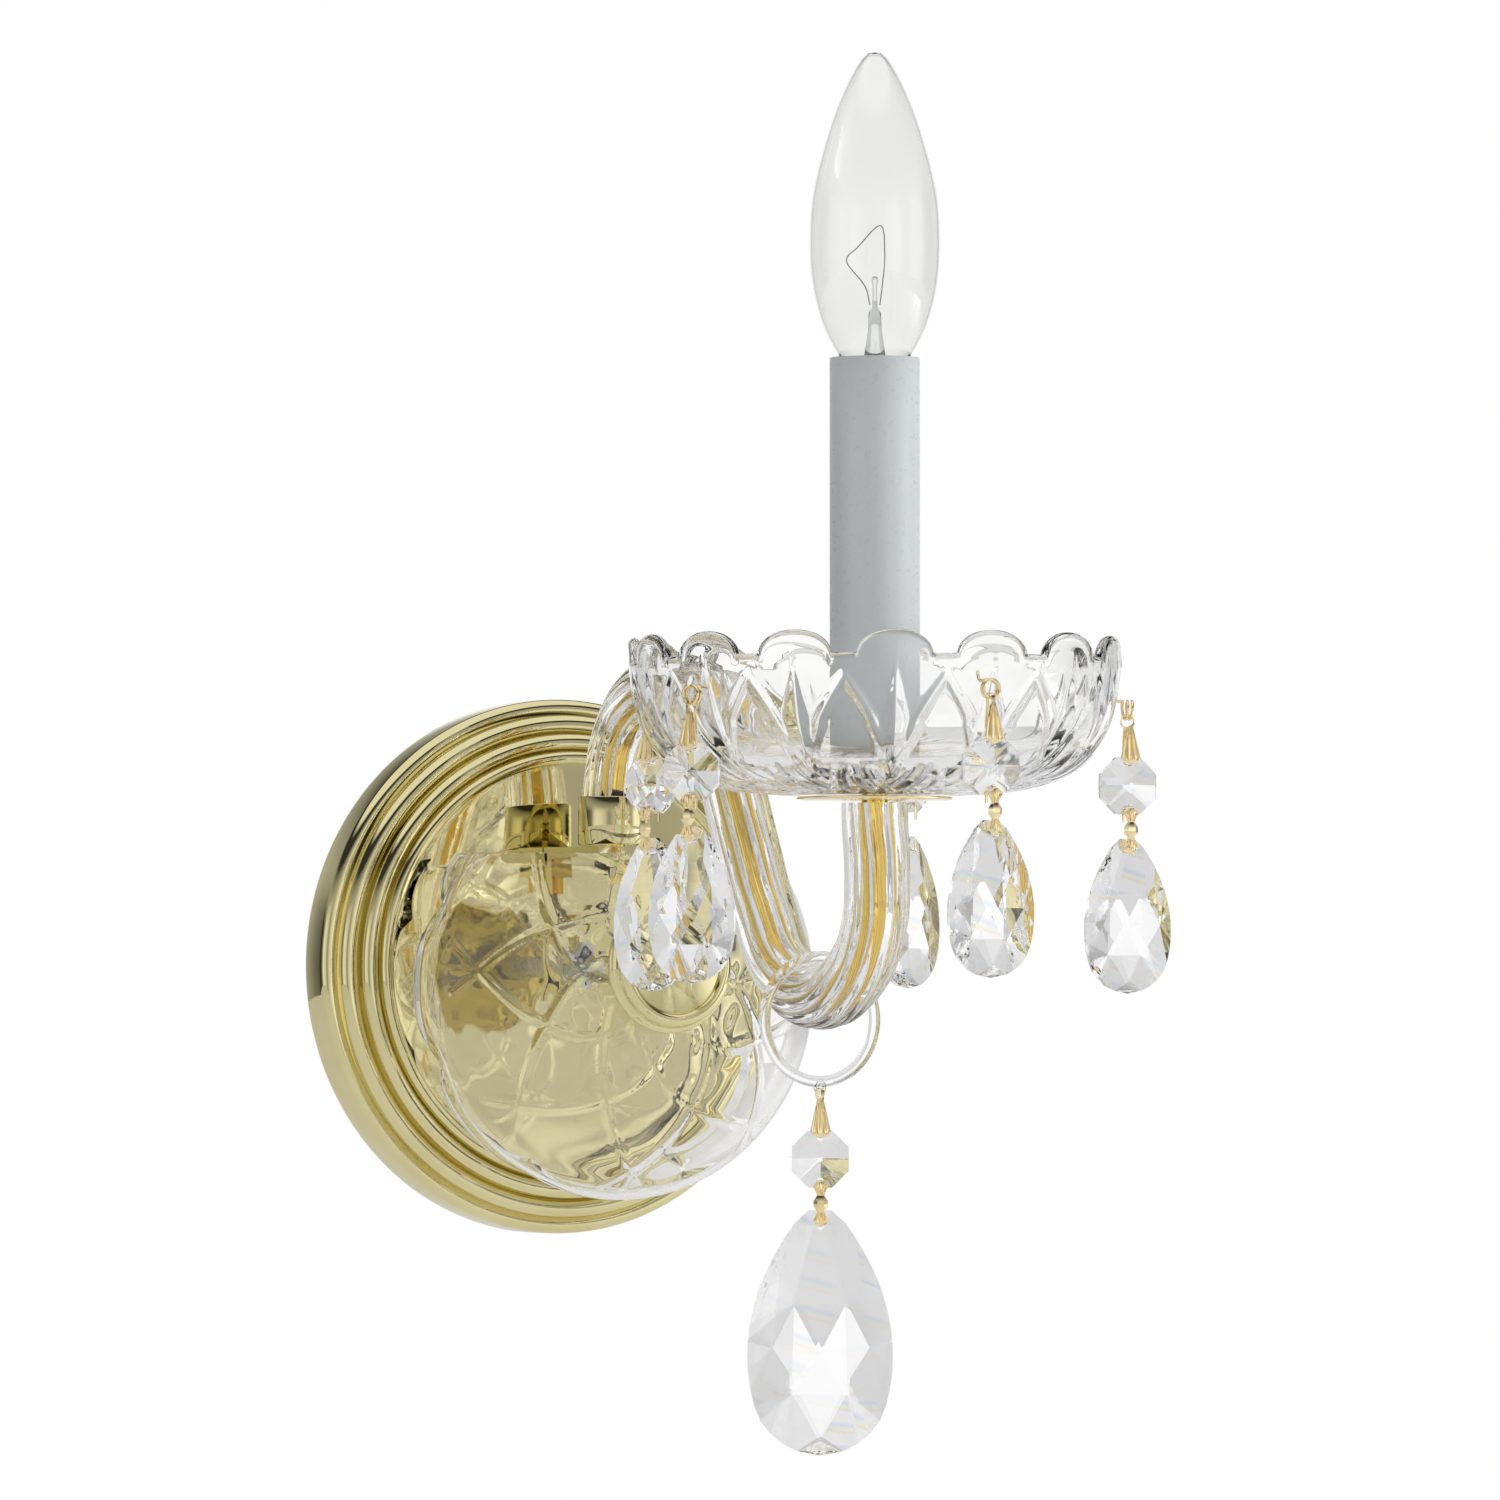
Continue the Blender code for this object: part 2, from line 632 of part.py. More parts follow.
def make_jump_ring(name):
    """Wire coil with a tail that hooks through the dish; its origin is on the hole's axis."""
    tail = [(0.0, 7.6, 2.4), (0.0, 7.5, 1.2), (0.0, 7.0, 0.35), (0.0, 6.2, 0.0), (0.0, 2.6, 0.0)]
    coil = []
    turns = 2.0
    count = 22
    for i in range(count + 1):
        a = 2 * math.pi * turns * i / count
        reach = 1.1 - 2.2 * i / count
        coil.append((COIL_R * math.sin(a), reach, COIL_R * (math.cos(a) - 1.0)))
    return wire(name, tail + coil, COIL_WIRE, GOLD, resolution=1)


def make_bail(name, twist=0.0):
    """Fluted fan and plain back leg over the ring, with the pin that goes through the octagon."""
    thin = 0.35
    path = [
        (2.35, -BAIL_LENGTH, 0.8, thin),
        (-2.2, -BAIL_LENGTH, 0.8, thin),
        (-2.75, -10.6, 1.9, thin),
        (-2.85, -9.5, 5.0, thin),
        (-1.75, -2.0, 1.6, thin),
        (-1.6, -1.1, 1.0, thin),
        (-1.5, -0.3, 0.9, thin),
        (-1.15, 0.75, 0.9, thin),
        (-0.45, 1.05, 0.9, thin),
        (0.45, 1.05, 0.9, thin),
        (1.15, 0.75, 0.9, thin),
        (1.5, -0.3, 0.9, thin),
        (1.6, -1.1, 0.8, thin),
        (1.75, -2.0, 0.8, thin),
        (2.75, -7.2, 0.8, thin),
    ]
    return strip(name, path, GOLD, twist=twist)


def make_octagon(name):
    """Eight-sided bead coming to a low point front and back, drilled at top and bottom."""
    girdle = 1.4
    point = 3.4
    radius = OCTAGON_FLAT / 2 / math.cos(math.pi / 8)
    profile = [(0.0, point), (radius, girdle), (radius, -girdle), (0.0, -point)]
    obj = turned(name, profile, GLASS, steps=8, closed=False)
    frozen(obj)
    turn = Matrix.Rotation(math.radians(90), 4, "X") @ Matrix.Rotation(math.radians(22.5), 4, "Z")
    drop = Matrix.Translation((0.0, 0.0, -OCTAGON_HOLE * MM))
    obj.data.transform(drop @ turn)
    for tag, z in (("upper", 0.0), ("lower", -2 * OCTAGON_HOLE)):
        drill(obj, f"{name}_{tag}_hole", z)
    return obj


def drill(obj, name, z):
    """A hole front to back at height z, riding on the piece that it drills."""
    tool = cylinder(name, (0, -9, z), (0, 1, 0), DROP_HOLE_R, 18, 8)
    tool.parent = obj
    cut(obj, tool)


def make_bow_tie(name):
    """Two fluted fans and a boss in front, a pin through each crystal, two short prongs behind."""
    thin = 0.35
    end = -BOW_LENGTH
    path = [
        (2.75, -3.9, 0.8, thin),
        (2.75, -0.5, 0.8, thin),
        (2.3, 0.0, 0.8, thin),
        (-2.2, 0.0, 0.8, thin),
        (-2.8, -0.4, 1.5, thin),
        (-2.95, -1.4, 3.8, thin),
        (-2.95, -4.1, 1.5, thin),
        (-2.95, -4.5, 1.7, 0.5),
        (-2.95, -5.65, 3.8, 2.0),
        (-2.95, -6.8, 1.7, 0.5),
        (-2.95, -7.2, 1.5, thin),
        (-2.95, end + 1.4, 3.8, thin),
        (-2.8, end + 0.4, 1.5, thin),
        (-2.2, end, 0.8, thin),
        (2.3, end, 0.8, thin),
        (2.75, end + 0.5, 0.8, thin),
        (2.75, end + 2.9, 0.8, thin),
    ]
    return strip(name, path, GOLD)


# Teardrop outline: share of the length from the top, share of the half width
DROP_OUTLINE = (
    (0.01, 0.15),
    (0.12, 0.48),
    (0.26, 0.74),
    (0.40, 0.91),
    (0.54, 0.99),
    (0.66, 0.99),
    (0.80, 0.90),
    (0.91, 0.68),
    (0.98, 0.31),
)


def make_drop(name, size):
    """Faceted teardrop; its origin is at its hanging pivot, one bow-tie length above its hole."""
    top = -BOW_LENGTH + size["hole"]
    edge = 0.9
    points = [(0.0, 0.0, top - size["length"])]
    for share, width in DROP_OUTLINE:
        z = top - size["length"] * share
        for across in (-width * size["width"] / 2, width * size["width"] / 2):
            points += [(across, -edge, z), (across, edge, z)]
    for face in (-1, 1):
        for share, across, depth in ((0.14, 0.0, 0.4), (0.42, 0.3, 0.86), (0.66, 0.48, 1.0), (0.9, 0.0, 0.5)):
            z = top - size["length"] * share
            y = face * depth * size["depth"] / 2
            for side in (-1, 1) if across else (1,):
                points.append((side * across * size["width"] / 2, y, z))
    bm = bmesh.new()
    for point in points:
        bm.verts.new(Vector(point) * MM)
    made = bmesh.ops.convex_hull(bm, input=bm.verts)
    loose = [v for v in made["geom_interior"] if isinstance(v, bmesh.types.BMVert)]
    bmesh.ops.delete(bm, geom=loose, context="VERTS")
    bmesh.ops.recalc_face_normals(bm, faces=bm.faces)
    mesh = bpy.data.meshes.new(name)
    bm.to_mesh(mesh)
    bm.free()
    obj = new_object(name, mesh, GLASS)
    drill(obj, f"{name}_hole", -BOW_LENGTH)
    return obj


def hang_links(name, across, depth, top, angle, size):
    """Octagon, bow-tie and drop below the bail's pin."""
    octagon = make_octagon(f"{name}_octagon")
    place(octagon, across, depth, top, angle)
    lower = top - 2 * OCTAGON_HOLE
    for piece in (make_bow_tie(f"{name}_bow_tie"), make_drop(f"{name}_drop", size)):
        place(piece, across, depth, lower, angle)


def make_dish_chains():
    for name, (angle, radius, height, face) in CHAINS.items():
        out_x, out_y = facing(angle)
        across = radius * out_x
        depth = -CANDLE + radius * out_y
        ring = make_jump_ring(f"{name}_jump_ring")
        place(ring, across, depth, height, angle)
        bail = make_bail(f"{name}_bail", twist=face - angle)
        bail_z = height - 2 * COIL_R
        place(bail, across, depth, bail_z, angle)
        hang_links(name, across, depth, bail_z - BAIL_LENGTH, face, SMALL_DROP)


def make_arm_chain():
    """Glass ring round the arm's lowest bend, and the large drop hung from its eyelet."""
    count = 28
    hoop = [(x, 0.0, z) for x, z in arc((0.0, 0.0), GLASS_RING_R, 0, 360, count)[:-1]]
    ring = wire("glass_ring", hoop, GLASS_RING_WIRE, GLASS, resolution=2, cyclic=True)
    eye_z = -GLASS_RING_R - GLASS_RING_WIRE
    eyelet = [(x, 0.0, z) for x, z in arc((0.0, eye_z), EYELET_R, 0, 360, 12)[:-1]]
    loop = wire("glass_ring_eyelet", eyelet, EYELET_WIRE, GLASS, resolution=1, cyclic=True)
    PARTS.objects.unlink(loop)
    CUTTERS.objects.link(loop)
    loop.hide_render = True
    loop.display_type = "WIRE"
    loop.parent = ring
    cut(ring, loop, operation="UNION")
    place(ring, 0.0, -ARM_LOW_AT, RING_Z, 0.0)
    bail_z = RING_Z + eye_z - EYELET_R
    bail = make_bail("large_bail", twist=LARGE_FACING)
    place(bail, 0.0, -ARM_LOW_AT, bail_z, 0.0)
    hang_links("large", 0.0, -ARM_LOW_AT, bail_z - BAIL_LENGTH, LARGE_FACING, LARGE_DROP)


make_backplate()
make_crossbar()
make_rod()
make_rod_hardware()
make_arm_bracket()
make_ferrule()
make_arm()
make_wires()
make_bowl()
make_knob()
make_dish_plate()
make_dish()
make_candle()
make_lamp()
make_dish_chains()
make_arm_chain()
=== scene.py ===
"""Looks for the candle wall sconce: brass, cut glass and hanging crystals, in metres, +Z up."""

import json
import math

import bmesh
import bpy
import numpy as np
from mathutils import Matrix, Vector


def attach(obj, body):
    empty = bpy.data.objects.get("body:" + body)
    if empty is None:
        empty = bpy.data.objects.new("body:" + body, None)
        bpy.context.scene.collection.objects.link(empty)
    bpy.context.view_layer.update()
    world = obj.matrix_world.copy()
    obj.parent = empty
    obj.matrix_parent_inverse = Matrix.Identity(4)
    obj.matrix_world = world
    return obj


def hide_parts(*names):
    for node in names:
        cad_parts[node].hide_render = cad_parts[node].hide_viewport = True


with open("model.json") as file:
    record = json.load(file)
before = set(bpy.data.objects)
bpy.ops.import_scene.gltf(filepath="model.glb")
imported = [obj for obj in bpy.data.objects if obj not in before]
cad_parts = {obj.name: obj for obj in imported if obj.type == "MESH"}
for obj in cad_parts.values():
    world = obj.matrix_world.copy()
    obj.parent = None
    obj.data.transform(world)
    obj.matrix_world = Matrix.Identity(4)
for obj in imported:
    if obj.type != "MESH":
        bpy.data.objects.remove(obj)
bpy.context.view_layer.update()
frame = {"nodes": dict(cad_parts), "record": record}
SCENE = bpy.context.scene
MM = 0.001

# The same sizes as the CAD model, in millimetres and degrees
CANDLE = 175.5
ROD_R = 3.0
ARM_R = 8.1
ARM_BORE = 4.3
TUBE_R = 3.2
TUBE_BORE = 2.35
ARM_LOW = -8.5
ARM_LOW_AT = 147.5
ARM_FOOT = 38.5
BOWL_Z = -5.0
BOWL_WALL = 3.6
BOWL_LOBES = 8
BOWL_CUT = 28.0
BOWL_EDGE = 65.1
BOWL_RIM_AT = 30.0
DISH_LOBES = 15
DISH_FLOOR = 40.2
DISH_R = 59.7
DISH_WALL_TOP = 70.0
DISH_BEAD = 1.5
SLEEVE_R = 11.0
SLEEVE_BORE = 10.2
SLEEVE_FOOT = 45.8
SLEEVE_TOP = 146.6
BULB_WALL = 0.6
THREAD_PITCH = 2.54
COIL_R = 2.2
COIL_WIRE = 0.38
COIL_TURNS = 2.0
COIL_SPREAD = 2.2
BAIL_LENGTH = 11.0
OCTAGON_HOLE = 5.2
OCTAGON_FLAT = 14.0
BOW_LENGTH = 11.3
RING_R = 15.3
RING_WIRE = 1.4
EYELET_R = 1.3
EYELET_WIRE = 0.45
RING_Z = ARM_LOW + ARM_R + 0.3 - RING_R + RING_WIRE
SMALL_DROP = {"length": 38.0, "width": 22.0, "depth": 9.6, "hole": 3.9}
LARGE_DROP = {"length": 60.6, "width": 36.0, "depth": 14.0, "hole": 4.6}
BULB_TURN = -28.0
# For each chain: angle round the dish, radius, height of its ring, and the angle its crystals face
CHAINS = {
    "front": (-1.9, 61.0, 66.7, -8.0),
    "right": (71.0, 62.4, 63.4, -12.0),
    "left": (-73.9, 61.8, 65.5, -48.0),
    "rear_right": (143.6, 61.0, 65.0, 198.0),
    "rear_left": (-145.0, 61.0, 64.0, -63.0),
}
LARGE_FACING = -25.0

# Surface cutting that only the looks have, in millimetres, the arm's twist in radians, and mesh counts
BOWL_LOBE_DEPTH = 4.0
ARM_REEDS = 16
ARM_REED_DEPTH = 0.8
ARM_TWIST = 0.55
ARM_SIDES = 216
TUBE_SIDES = 48
BOWL_STEPS = 448
DISH_STEPS = 720

# Optics: refractive indices, and how much plain white the rays that come through glass see
GLASS_IOR = 1.5
CRYSTAL_IOR = 1.55
REFRACTED_WHITE = 0.4

# View: degrees round to the left and upwards, the camera's place in metres, the lens in millimetres
VIEW_TURN = 28.2
VIEW_LIFT = 1.5
CAMERA_PLACE = (-1.4444, -2.8051, -0.0273)
LENS = 296.6

# Floor, in metres
FLOOR_R = 3.0
FLOOR_Z = -0.30


# ------------------------------------------------------------------ materials


def new_material(name, colour, metallic=0.0, roughness=0.3, **sockets):
    made = bpy.data.materials.new(name)
    made.use_nodes = True
    shader = made.node_tree.nodes["Principled BSDF"]
    shader.inputs["Base Color"].default_value = (*colour, 1.0)
    shader.inputs["Metallic"].default_value = metallic
    shader.inputs["Roughness"].default_value = roughness
    for socket, value in sockets.items():
        shader.inputs[socket.replace("_", " ")].default_value = value
    return made


class Nodes:
    """Short calls to add and join nodes of one material."""

    def __init__(self, material):
        self.tree = material.node_tree
        self.shader = self.tree.nodes["Principled BSDF"]
        self.where = self.tree.nodes.new("ShaderNodeTexCoord").outputs["Object"]

    def add(self, kind, inputs=(), **settings):
        node = self.tree.nodes.new(kind)
        for key, value in settings.items():
            setattr(node, key, value)
        for key, value in dict(inputs).items():
            if isinstance(value, bpy.types.NodeSocket):
                self.tree.links.new(value, node.inputs[key])
            else:
                node.inputs[key].default_value = value
        return node

    def noise(self, scale, detail=2.0, roughness=0.5, where=None):
        vector = self.where if where is None else where
        inputs = {"Vector": vector, "Scale": scale, "Detail": detail, "Roughness": roughness}
        return self.add("ShaderNodeTexNoise", inputs).outputs["Fac"]

    def stretched(self, scale):
        return self.add("ShaderNodeMapping", {"Vector": self.where, "Scale": scale}).outputs["Vector"]

    def ramp(self, value, stops):
        node = self.add("ShaderNodeValToRGB", {"Fac": value})
        for k, (at, colour) in enumerate(stops):
            element = node.color_ramp.elements[k] if k < 2 else node.color_ramp.elements.new(at)
            element.position = at
            element.color = (*colour, 1.0)
        return node.outputs["Color"]

    def spread(self, value, low, high):
        """The middle of a noise, stretched to run from low to high."""
        inputs = {"Value": value, "From Min": 0.35, "From Max": 0.65, "To Min": low, "To Max": high}
        return self.add("ShaderNodeMapRange", inputs).outputs["Result"]

    def to_shader(self, value, socket):
        self.tree.links.new(value, self.shader.inputs[socket])

    def bump(self, height, distance, strength=1.0):
        node = self.add("ShaderNodeBump", {"Height": height, "Distance": distance, "Strength": strength})
        self.to_shader(node.outputs["Normal"], "Normal")


def brass(name, light, dark, roughness, grain=0.00001):
    made = new_material(name, light, 1.0, roughness)
    nodes = Nodes(made)
    cloud = nodes.noise(55.0, 3.0)
    nodes.to_shader(nodes.ramp(cloud, ((0.3, dark), (0.7, light))), "Base Color")
    nodes.to_shader(nodes.spread(nodes.noise(240.0, 4.0), roughness * 0.7, roughness * 1.5), "Roughness")
    nodes.bump(nodes.noise(900.0, 2.0), grain, 0.35)
    return made


def glass(name, colour, bump, wave):
    """Clear glass whose surface is slightly wavy."""
    made = new_material(name, colour, 0.0, 0.0, IOR=GLASS_IOR, Transmission_Weight=1.0)
    nodes = Nodes(made)
    nodes.to_shader(nodes.spread(nodes.noise(400.0, 3.0), 0.0, 0.004), "Roughness")
    nodes.bump(nodes.noise(wave, 1.0), bump, 0.5)
    return made


def crystal(name):
    """Lead crystal with painted rainbow glints: a spectral tint in the base colour of some facets, standing
    in for the light's dispersion.
    """
    made = new_material(name, (1.0, 1.0, 1.0), 0.0, 0.0, IOR=CRYSTAL_IOR, Transmission_Weight=1.0)
    nodes = Nodes(made)
    # Painted rainbow glints: facets picked by their object-space normal get a spectral tint in the base
    # colour
    facet = nodes.tree.nodes.new("ShaderNodeTexCoord").outputs["Normal"]
    lean = nodes.add("ShaderNodeVectorMath", {0: facet, 1: (3.1, 2.3, 4.7)}, operation="DOT_PRODUCT")
    glint_pick = nodes.add("ShaderNodeMath", {0: lean.outputs["Value"]}, operation="FRACT")
    none, most = (0.0,) * 3, (0.8,) * 3
    share = nodes.ramp(glint_pick.outputs[0], ((0.0, most), (0.15, none), (0.85, none), (1.0, most)))
    # Painted glint colour: a rainbow ramp across the crystal, in place of the light's dispersion
    inputs = {0: nodes.where, 1: (60.0, 45.0, 150.0)}
    across = nodes.add("ShaderNodeVectorMath", inputs, operation="DOT_PRODUCT")
    glint_hue = nodes.add("ShaderNodeMath", {0: across.outputs["Value"]}, operation="FRACT")
    clear = (1.0, 1.0, 1.0)
    stops = ((0.0, clear), (0.45, clear), (0.55, (1.0, 0.70, 0.42)), (0.65, (1.0, 0.95, 0.62)))
    stops += ((0.74, (0.62, 0.95, 0.80)), (0.83, (0.50, 0.66, 1.0)), (0.90, (0.75, 0.72, 1.0)), (1.0, clear))
    inputs = {"Fac": share, "Color1": (1.0, 1.0, 1.0, 1.0), "Color2": nodes.ramp(glint_hue.outputs[0], stops)}
    nodes.to_shader(nodes.add("ShaderNodeMixRGB", inputs).outputs["Color"], "Base Color")
    nodes.to_shader(nodes.spread(nodes.noise(500.0), 0.0, 0.006), "Roughness")
    return made


def plastic(name, colour, dark, roughness, scale=160.0, distance=0.00002, coat=0.0):
    made = new_material(name, colour, 0.0, roughness, Coat_Weight=coat)
    nodes = Nodes(made)
    nodes.to_shader(nodes.ramp(nodes.noise(scale, 4.0), ((0.35, dark), (0.65, colour))), "Base Color")
    nodes.to_shader(nodes.spread(nodes.noise(scale * 2.0), roughness * 0.85, roughness * 1.15), "Roughness")
    nodes.bump(nodes.noise(scale * 5.0, 3.0), distance, 0.5)
    return made


def brushed(name, colour, roughness):
    made = new_material(name, colour, 1.0, roughness)
    nodes = Nodes(made)
    lines = nodes.noise(90.0, 5.0, 0.6, where=nodes.stretched((1.0, 14.0, 1.0)))
    dark = tuple(c * 0.8 for c in colour)
    nodes.to_shader(nodes.ramp(lines, ((0.3, dark), (0.7, colour))), "Base Color")
    nodes.to_shader(nodes.spread(lines, roughness * 0.8, roughness * 1.3), "Roughness")
    nodes.bump(lines, 0.00003, 0.5)
    return made


LOOKS = {
    "polished_brass": brass("polished_brass", (0.77, 0.695, 0.395), (0.72, 0.64, 0.34), 0.03),
    "gilt_wire": brass("gilt_wire", (0.98, 0.83, 0.52), (0.93, 0.75, 0.42), 0.12, 0.00003),
    "gilt_tube": brass("gilt_tube", (0.90, 0.64, 0.15), (0.84, 0.57, 0.10), 0.05, 0.00001),
    "drawn_glass": glass("drawn_glass", (0.975, 0.98, 0.98), 0.000005, 50.0),
    "cut_glass": glass("cut_glass", (0.985, 0.985, 0.98), 0.00006, 60.0),
    "crystal": crystal("crystal"),
    "lamp_glass": glass("lamp_glass", (0.935, 0.94, 0.925), 0.000001, 40.0),
    "lamp_cap": brushed("lamp_cap", (0.78, 0.78, 0.77), 0.25),
    "lamp_filament": brushed("lamp_filament", (0.30, 0.30, 0.31), 0.4),
    "candle_sleeve": plastic(
        "candle_sleeve", (0.60, 0.632, 0.645), (0.594, 0.626, 0.639), 0.32, 420.0, 0.000004, coat=0.15
    ),
    "socket_moulding": plastic("socket_moulding", (0.035, 0.035, 0.035), (0.02, 0.02, 0.02), 0.45),
    "socket_brass": brass("socket_brass", (0.75, 0.57, 0.26), (0.66, 0.47, 0.2), 0.25, 0.00005),
    "plated_steel": brushed("plated_steel", (0.66, 0.66, 0.64), 0.28),
    "washer_rubber": plastic("washer_rubber", (0.62, 0.60, 0.56), (0.52, 0.50, 0.46), 0.7, 300.0, 0.00008),
    "line_insulation": plastic("line_insulation", (0.03, 0.03, 0.03), (0.02, 0.02, 0.02), 0.4),
    "neutral_insulation": plastic("neutral_insulation", (0.82, 0.82, 0.8), (0.74, 0.74, 0.72), 0.4),
}

for subpart in frame["record"]["subparts"]:
    node = frame["nodes"][subpart["node"]]
    look = LOOKS[subpart["material_slot"]]
    if not node.material_slots:
        node.data.materials.append(look)
    for holder in node.material_slots:
        holder.material = look


# ------------------------------------------------------------------ mesh helpers


def piece(name, verts, faces, slot, body="sconce", nodes=None, sharp=38.0, flat=False):
    """A mesh given in millimetres, riding on its body in place of its CAD nodes."""
    mesh = bpy.data.meshes.new(name)
    mesh.from_pydata((np.asarray(verts, float) * MM).tolist(), [], [list(map(int, f)) for f in faces])
    bm = bmesh.new()
    bm.from_mesh(mesh)
    bmesh.ops.remove_doubles(bm, verts=bm.verts, dist=1e-7)
    bmesh.ops.dissolve_degenerate(bm, edges=bm.edges, dist=1e-8)
    bmesh.ops.recalc_face_normals(bm, faces=bm.faces)
    bm.to_mesh(mesh)
    bm.free()
    obj = bpy.data.objects.new(name, mesh)
    SCENE.collection.objects.link(obj)
    mesh.materials.append(LOOKS[slot])
    if flat:
        mesh.shade_flat()
    else:
        mesh.shade_smooth()
        mesh.set_sharp_from_angle(angle=math.radians(sharp))
    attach(obj, body)
    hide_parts(*(nodes or [name.removesuffix("_look")]))
    return obj


def grid_faces(rows, columns, wrap_rows=False, wrap_columns=True):
    """Quads over a rows x columns grid of points."""
    made = []
    for i in range(rows if wrap_rows else rows - 1):
        for j in range(columns if wrap_columns else columns - 1):
            a, b = i * columns, ((i + 1) % rows) * columns
            k = (j + 1) % columns
            made.append((a + j, a + k, b + k, b + j))
    return made


def softened(points, steps=4):
    """Catmull-Rom curve through the points of an open outline."""
    p = np.asarray(points, float)
    p = np.vstack([2 * p[0] - p[1], p, 2 * p[-1] - p[-2]])
    made = []
    for i in range(1, len(p) - 2):
        for t in np.arange(steps) / steps:
            a, b, c, d = p[i - 1], p[i], p[i + 1], p[i + 2]
            square, cube = 2 * a - 5 * b + 4 * c - d, 3 * b - a - 3 * c + d
            made.append(0.5 * (2 * b + (c - a) * t + square * t**2 + cube * t**3))
    made.append(p[-2])
    return np.array(made)


def arc(centre, radius, start, end, count):
    turn = np.radians(np.linspace(start, end, count + 1))
    return [(centre[0] + radius * math.cos(a), centre[1] + radius * math.sin(a)) for a in turn]


def lathe(profile, steps=128):
    """(verts, faces) of a closed (radius, height) outline turned about Z."""
    outline = np.asarray(profile, float)
    turn = np.linspace(0, 2 * np.pi, steps, endpoint=False)
    r, z = outline[:, :1], outline[:, 1:]
    verts = np.stack([r * np.cos(turn), r * np.sin(turn), z + 0 * turn], axis=-1).reshape(-1, 3)
    return verts, grid_faces(len(outline), steps, wrap_rows=True)


def from_wall(verts):
    """Points modelled along +Z, turned to stand out from the wall."""
    return np.stack([verts[:, 0], -verts[:, 2], verts[:, 1]], axis=-1)


def moved(verts, across, depth, height, angle=0.0):
    a = math.radians(angle)
    turn = np.array([[math.cos(a), -math.sin(a), 0], [math.sin(a), math.cos(a), 0], [0, 0, 1]])
    return np.asarray(verts) @ turn.T + np.array([across, depth, height])


def frames_along(path, closed=False):
    """Tangent and two side vectors at each point of a path, without twist."""
    p = np.asarray(path, float)
    if closed:
        run = np.roll(p, -1, 0) - np.roll(p, 1, 0)
    else:
        run = np.gradient(p, axis=0)
    run /= np.linalg.norm(run, axis=1, keepdims=True)
    side = np.cross(run[0], [1.0, 0.0, 0.0] if abs(run[0][0]) < 0.9 else [0.0, 0.0, 1.0])
    sides = []
    for t in run:
        side = side - (side @ t) * t
        side /= np.linalg.norm(side)
        sides.append(side.copy())
    sides = np.array(sides)
    return run, sides, np.cross(run, sides)


def swept(path, radius, sides=16, closed=False, section=None, caps=True):
    """(verts, faces) of a round or shaped bar along a path. section(turn, share) gives its radius."""
    p = np.asarray(path, float)
    _, u, v = frames_along(p, closed)
    turn = np.linspace(0, 2 * np.pi, sides, endpoint=False)
    share = np.linspace(0, 1, len(p))[:, None]
    reach = section(turn[None, :], share) if section else np.full((len(p), sides), radius)
    ring = u[:, None] * (reach * np.cos(turn))[..., None] + v[:, None] * (reach * np.sin(turn))[..., None]
    verts = (p[:, None] + ring).reshape(-1, 3)
    faces = grid_faces(len(p), sides, wrap_rows=closed)
    if not closed and caps:
        faces.append(tuple(range(sides)))
        faces.append(tuple((len(p) - 1) * sides + i for i in range(sides))[::-1])
    return verts, faces


def joined(*meshes):
    verts, faces, start = [], [], 0
    for v, f in meshes:
        verts.append(np.asarray(v))
        faces += [tuple(i + start for i in face) for face in f]
        start += len(v)
    return np.vstack(verts), faces


def lathe_piece(node, profile, slot, steps=128, wall=False, body="sconce", at=None, sharp=38.0, turn=0.0):
    verts, faces = lathe(profile, steps)
    verts = from_wall(verts) if wall else moved(verts, *(at or (0.0, -CANDLE, 0.0)), turn)
    piece(node + "_look", verts, faces, slot, body, sharp=sharp)


def grooves(verts, lines, width, depth):
    """How far each point sinks into V cuts that run along the lines."""
    sunk = np.zeros(len(verts))
    for line in lines:
        p = np.asarray(line, float)
        for a, b in zip(p[:-1], p[1:]):
            low, high = np.minimum(a, b) - width, np.maximum(a, b) + width
            near = np.nonzero(((verts > low) & (verts < high)).all(1))[0]
            if len(near):
                along = b - a
                share = np.clip((verts[near] - a) @ along / (along @ along), 0, 1)[:, None]
                away = np.linalg.norm(verts[near] - a - share * along, axis=1)
                sunk[near] = np.maximum(sunk[near], depth * np.clip(1 - away / width, 0, 1))
    return sunk


# ------------------------------------------------------------------ wall side


def make_backplate():
    flat = 17.0
    outer = [(ROD_R + 0.4, flat), (30.0, flat), (50.2, flat)]
    outer += arc((53.0, 16.4), 1.7, 165, 10, 10)
    outer += [(54.9, 14.9)]
    outer += arc((56.9, 14.7), 2.2, 130, 0, 10)
    outer += [(59.4, 12.6)]
    outer += arc((61.5, 11.7), 2.4, 130, 0, 10)
    outer += [(64.1, 10.2)]
    outer += arc((65.55, 8.5), 2.4, 95, 0, 10)
    outer += [(67.97, 5.0), (68.0, 1.2), (67.9, 0.4), (67.5, 0.0)]
    inner = [(66.6, 0.0), (66.6, 8.2), (63.6, 9.4), (60.0, 12.1), (55.2, 14.7), (51.0, 15.9)]
    inner += [(ROD_R + 0.4, 15.9)]
    lathe_piece("backplate", outer + inner, "polished_brass", 256, wall=True, sharp=50)


def make_knob():
    outer = [(0.0, 70.95), (3.0, 71.0), (6.0, 71.2), (9.0, 71.52), (11.2, 71.85), (12.2, 72.0)]
    outer += arc((13.9, 71.6), 1.75, 160, 0, 10)
    outer += [(15.7, 70.6), (16.2, 69.9)]
    outer += arc((16.1, 68.7), 1.2, 80, -70, 8)
    outer += [(14.6, 67.3), (13.9, 67.2), (ROD_R + 0.35, 67.2), (ROD_R + 0.35, 70.7), (0.0, 70.7)]
    lathe_piece("knob", outer, "polished_brass", 128, wall=True)


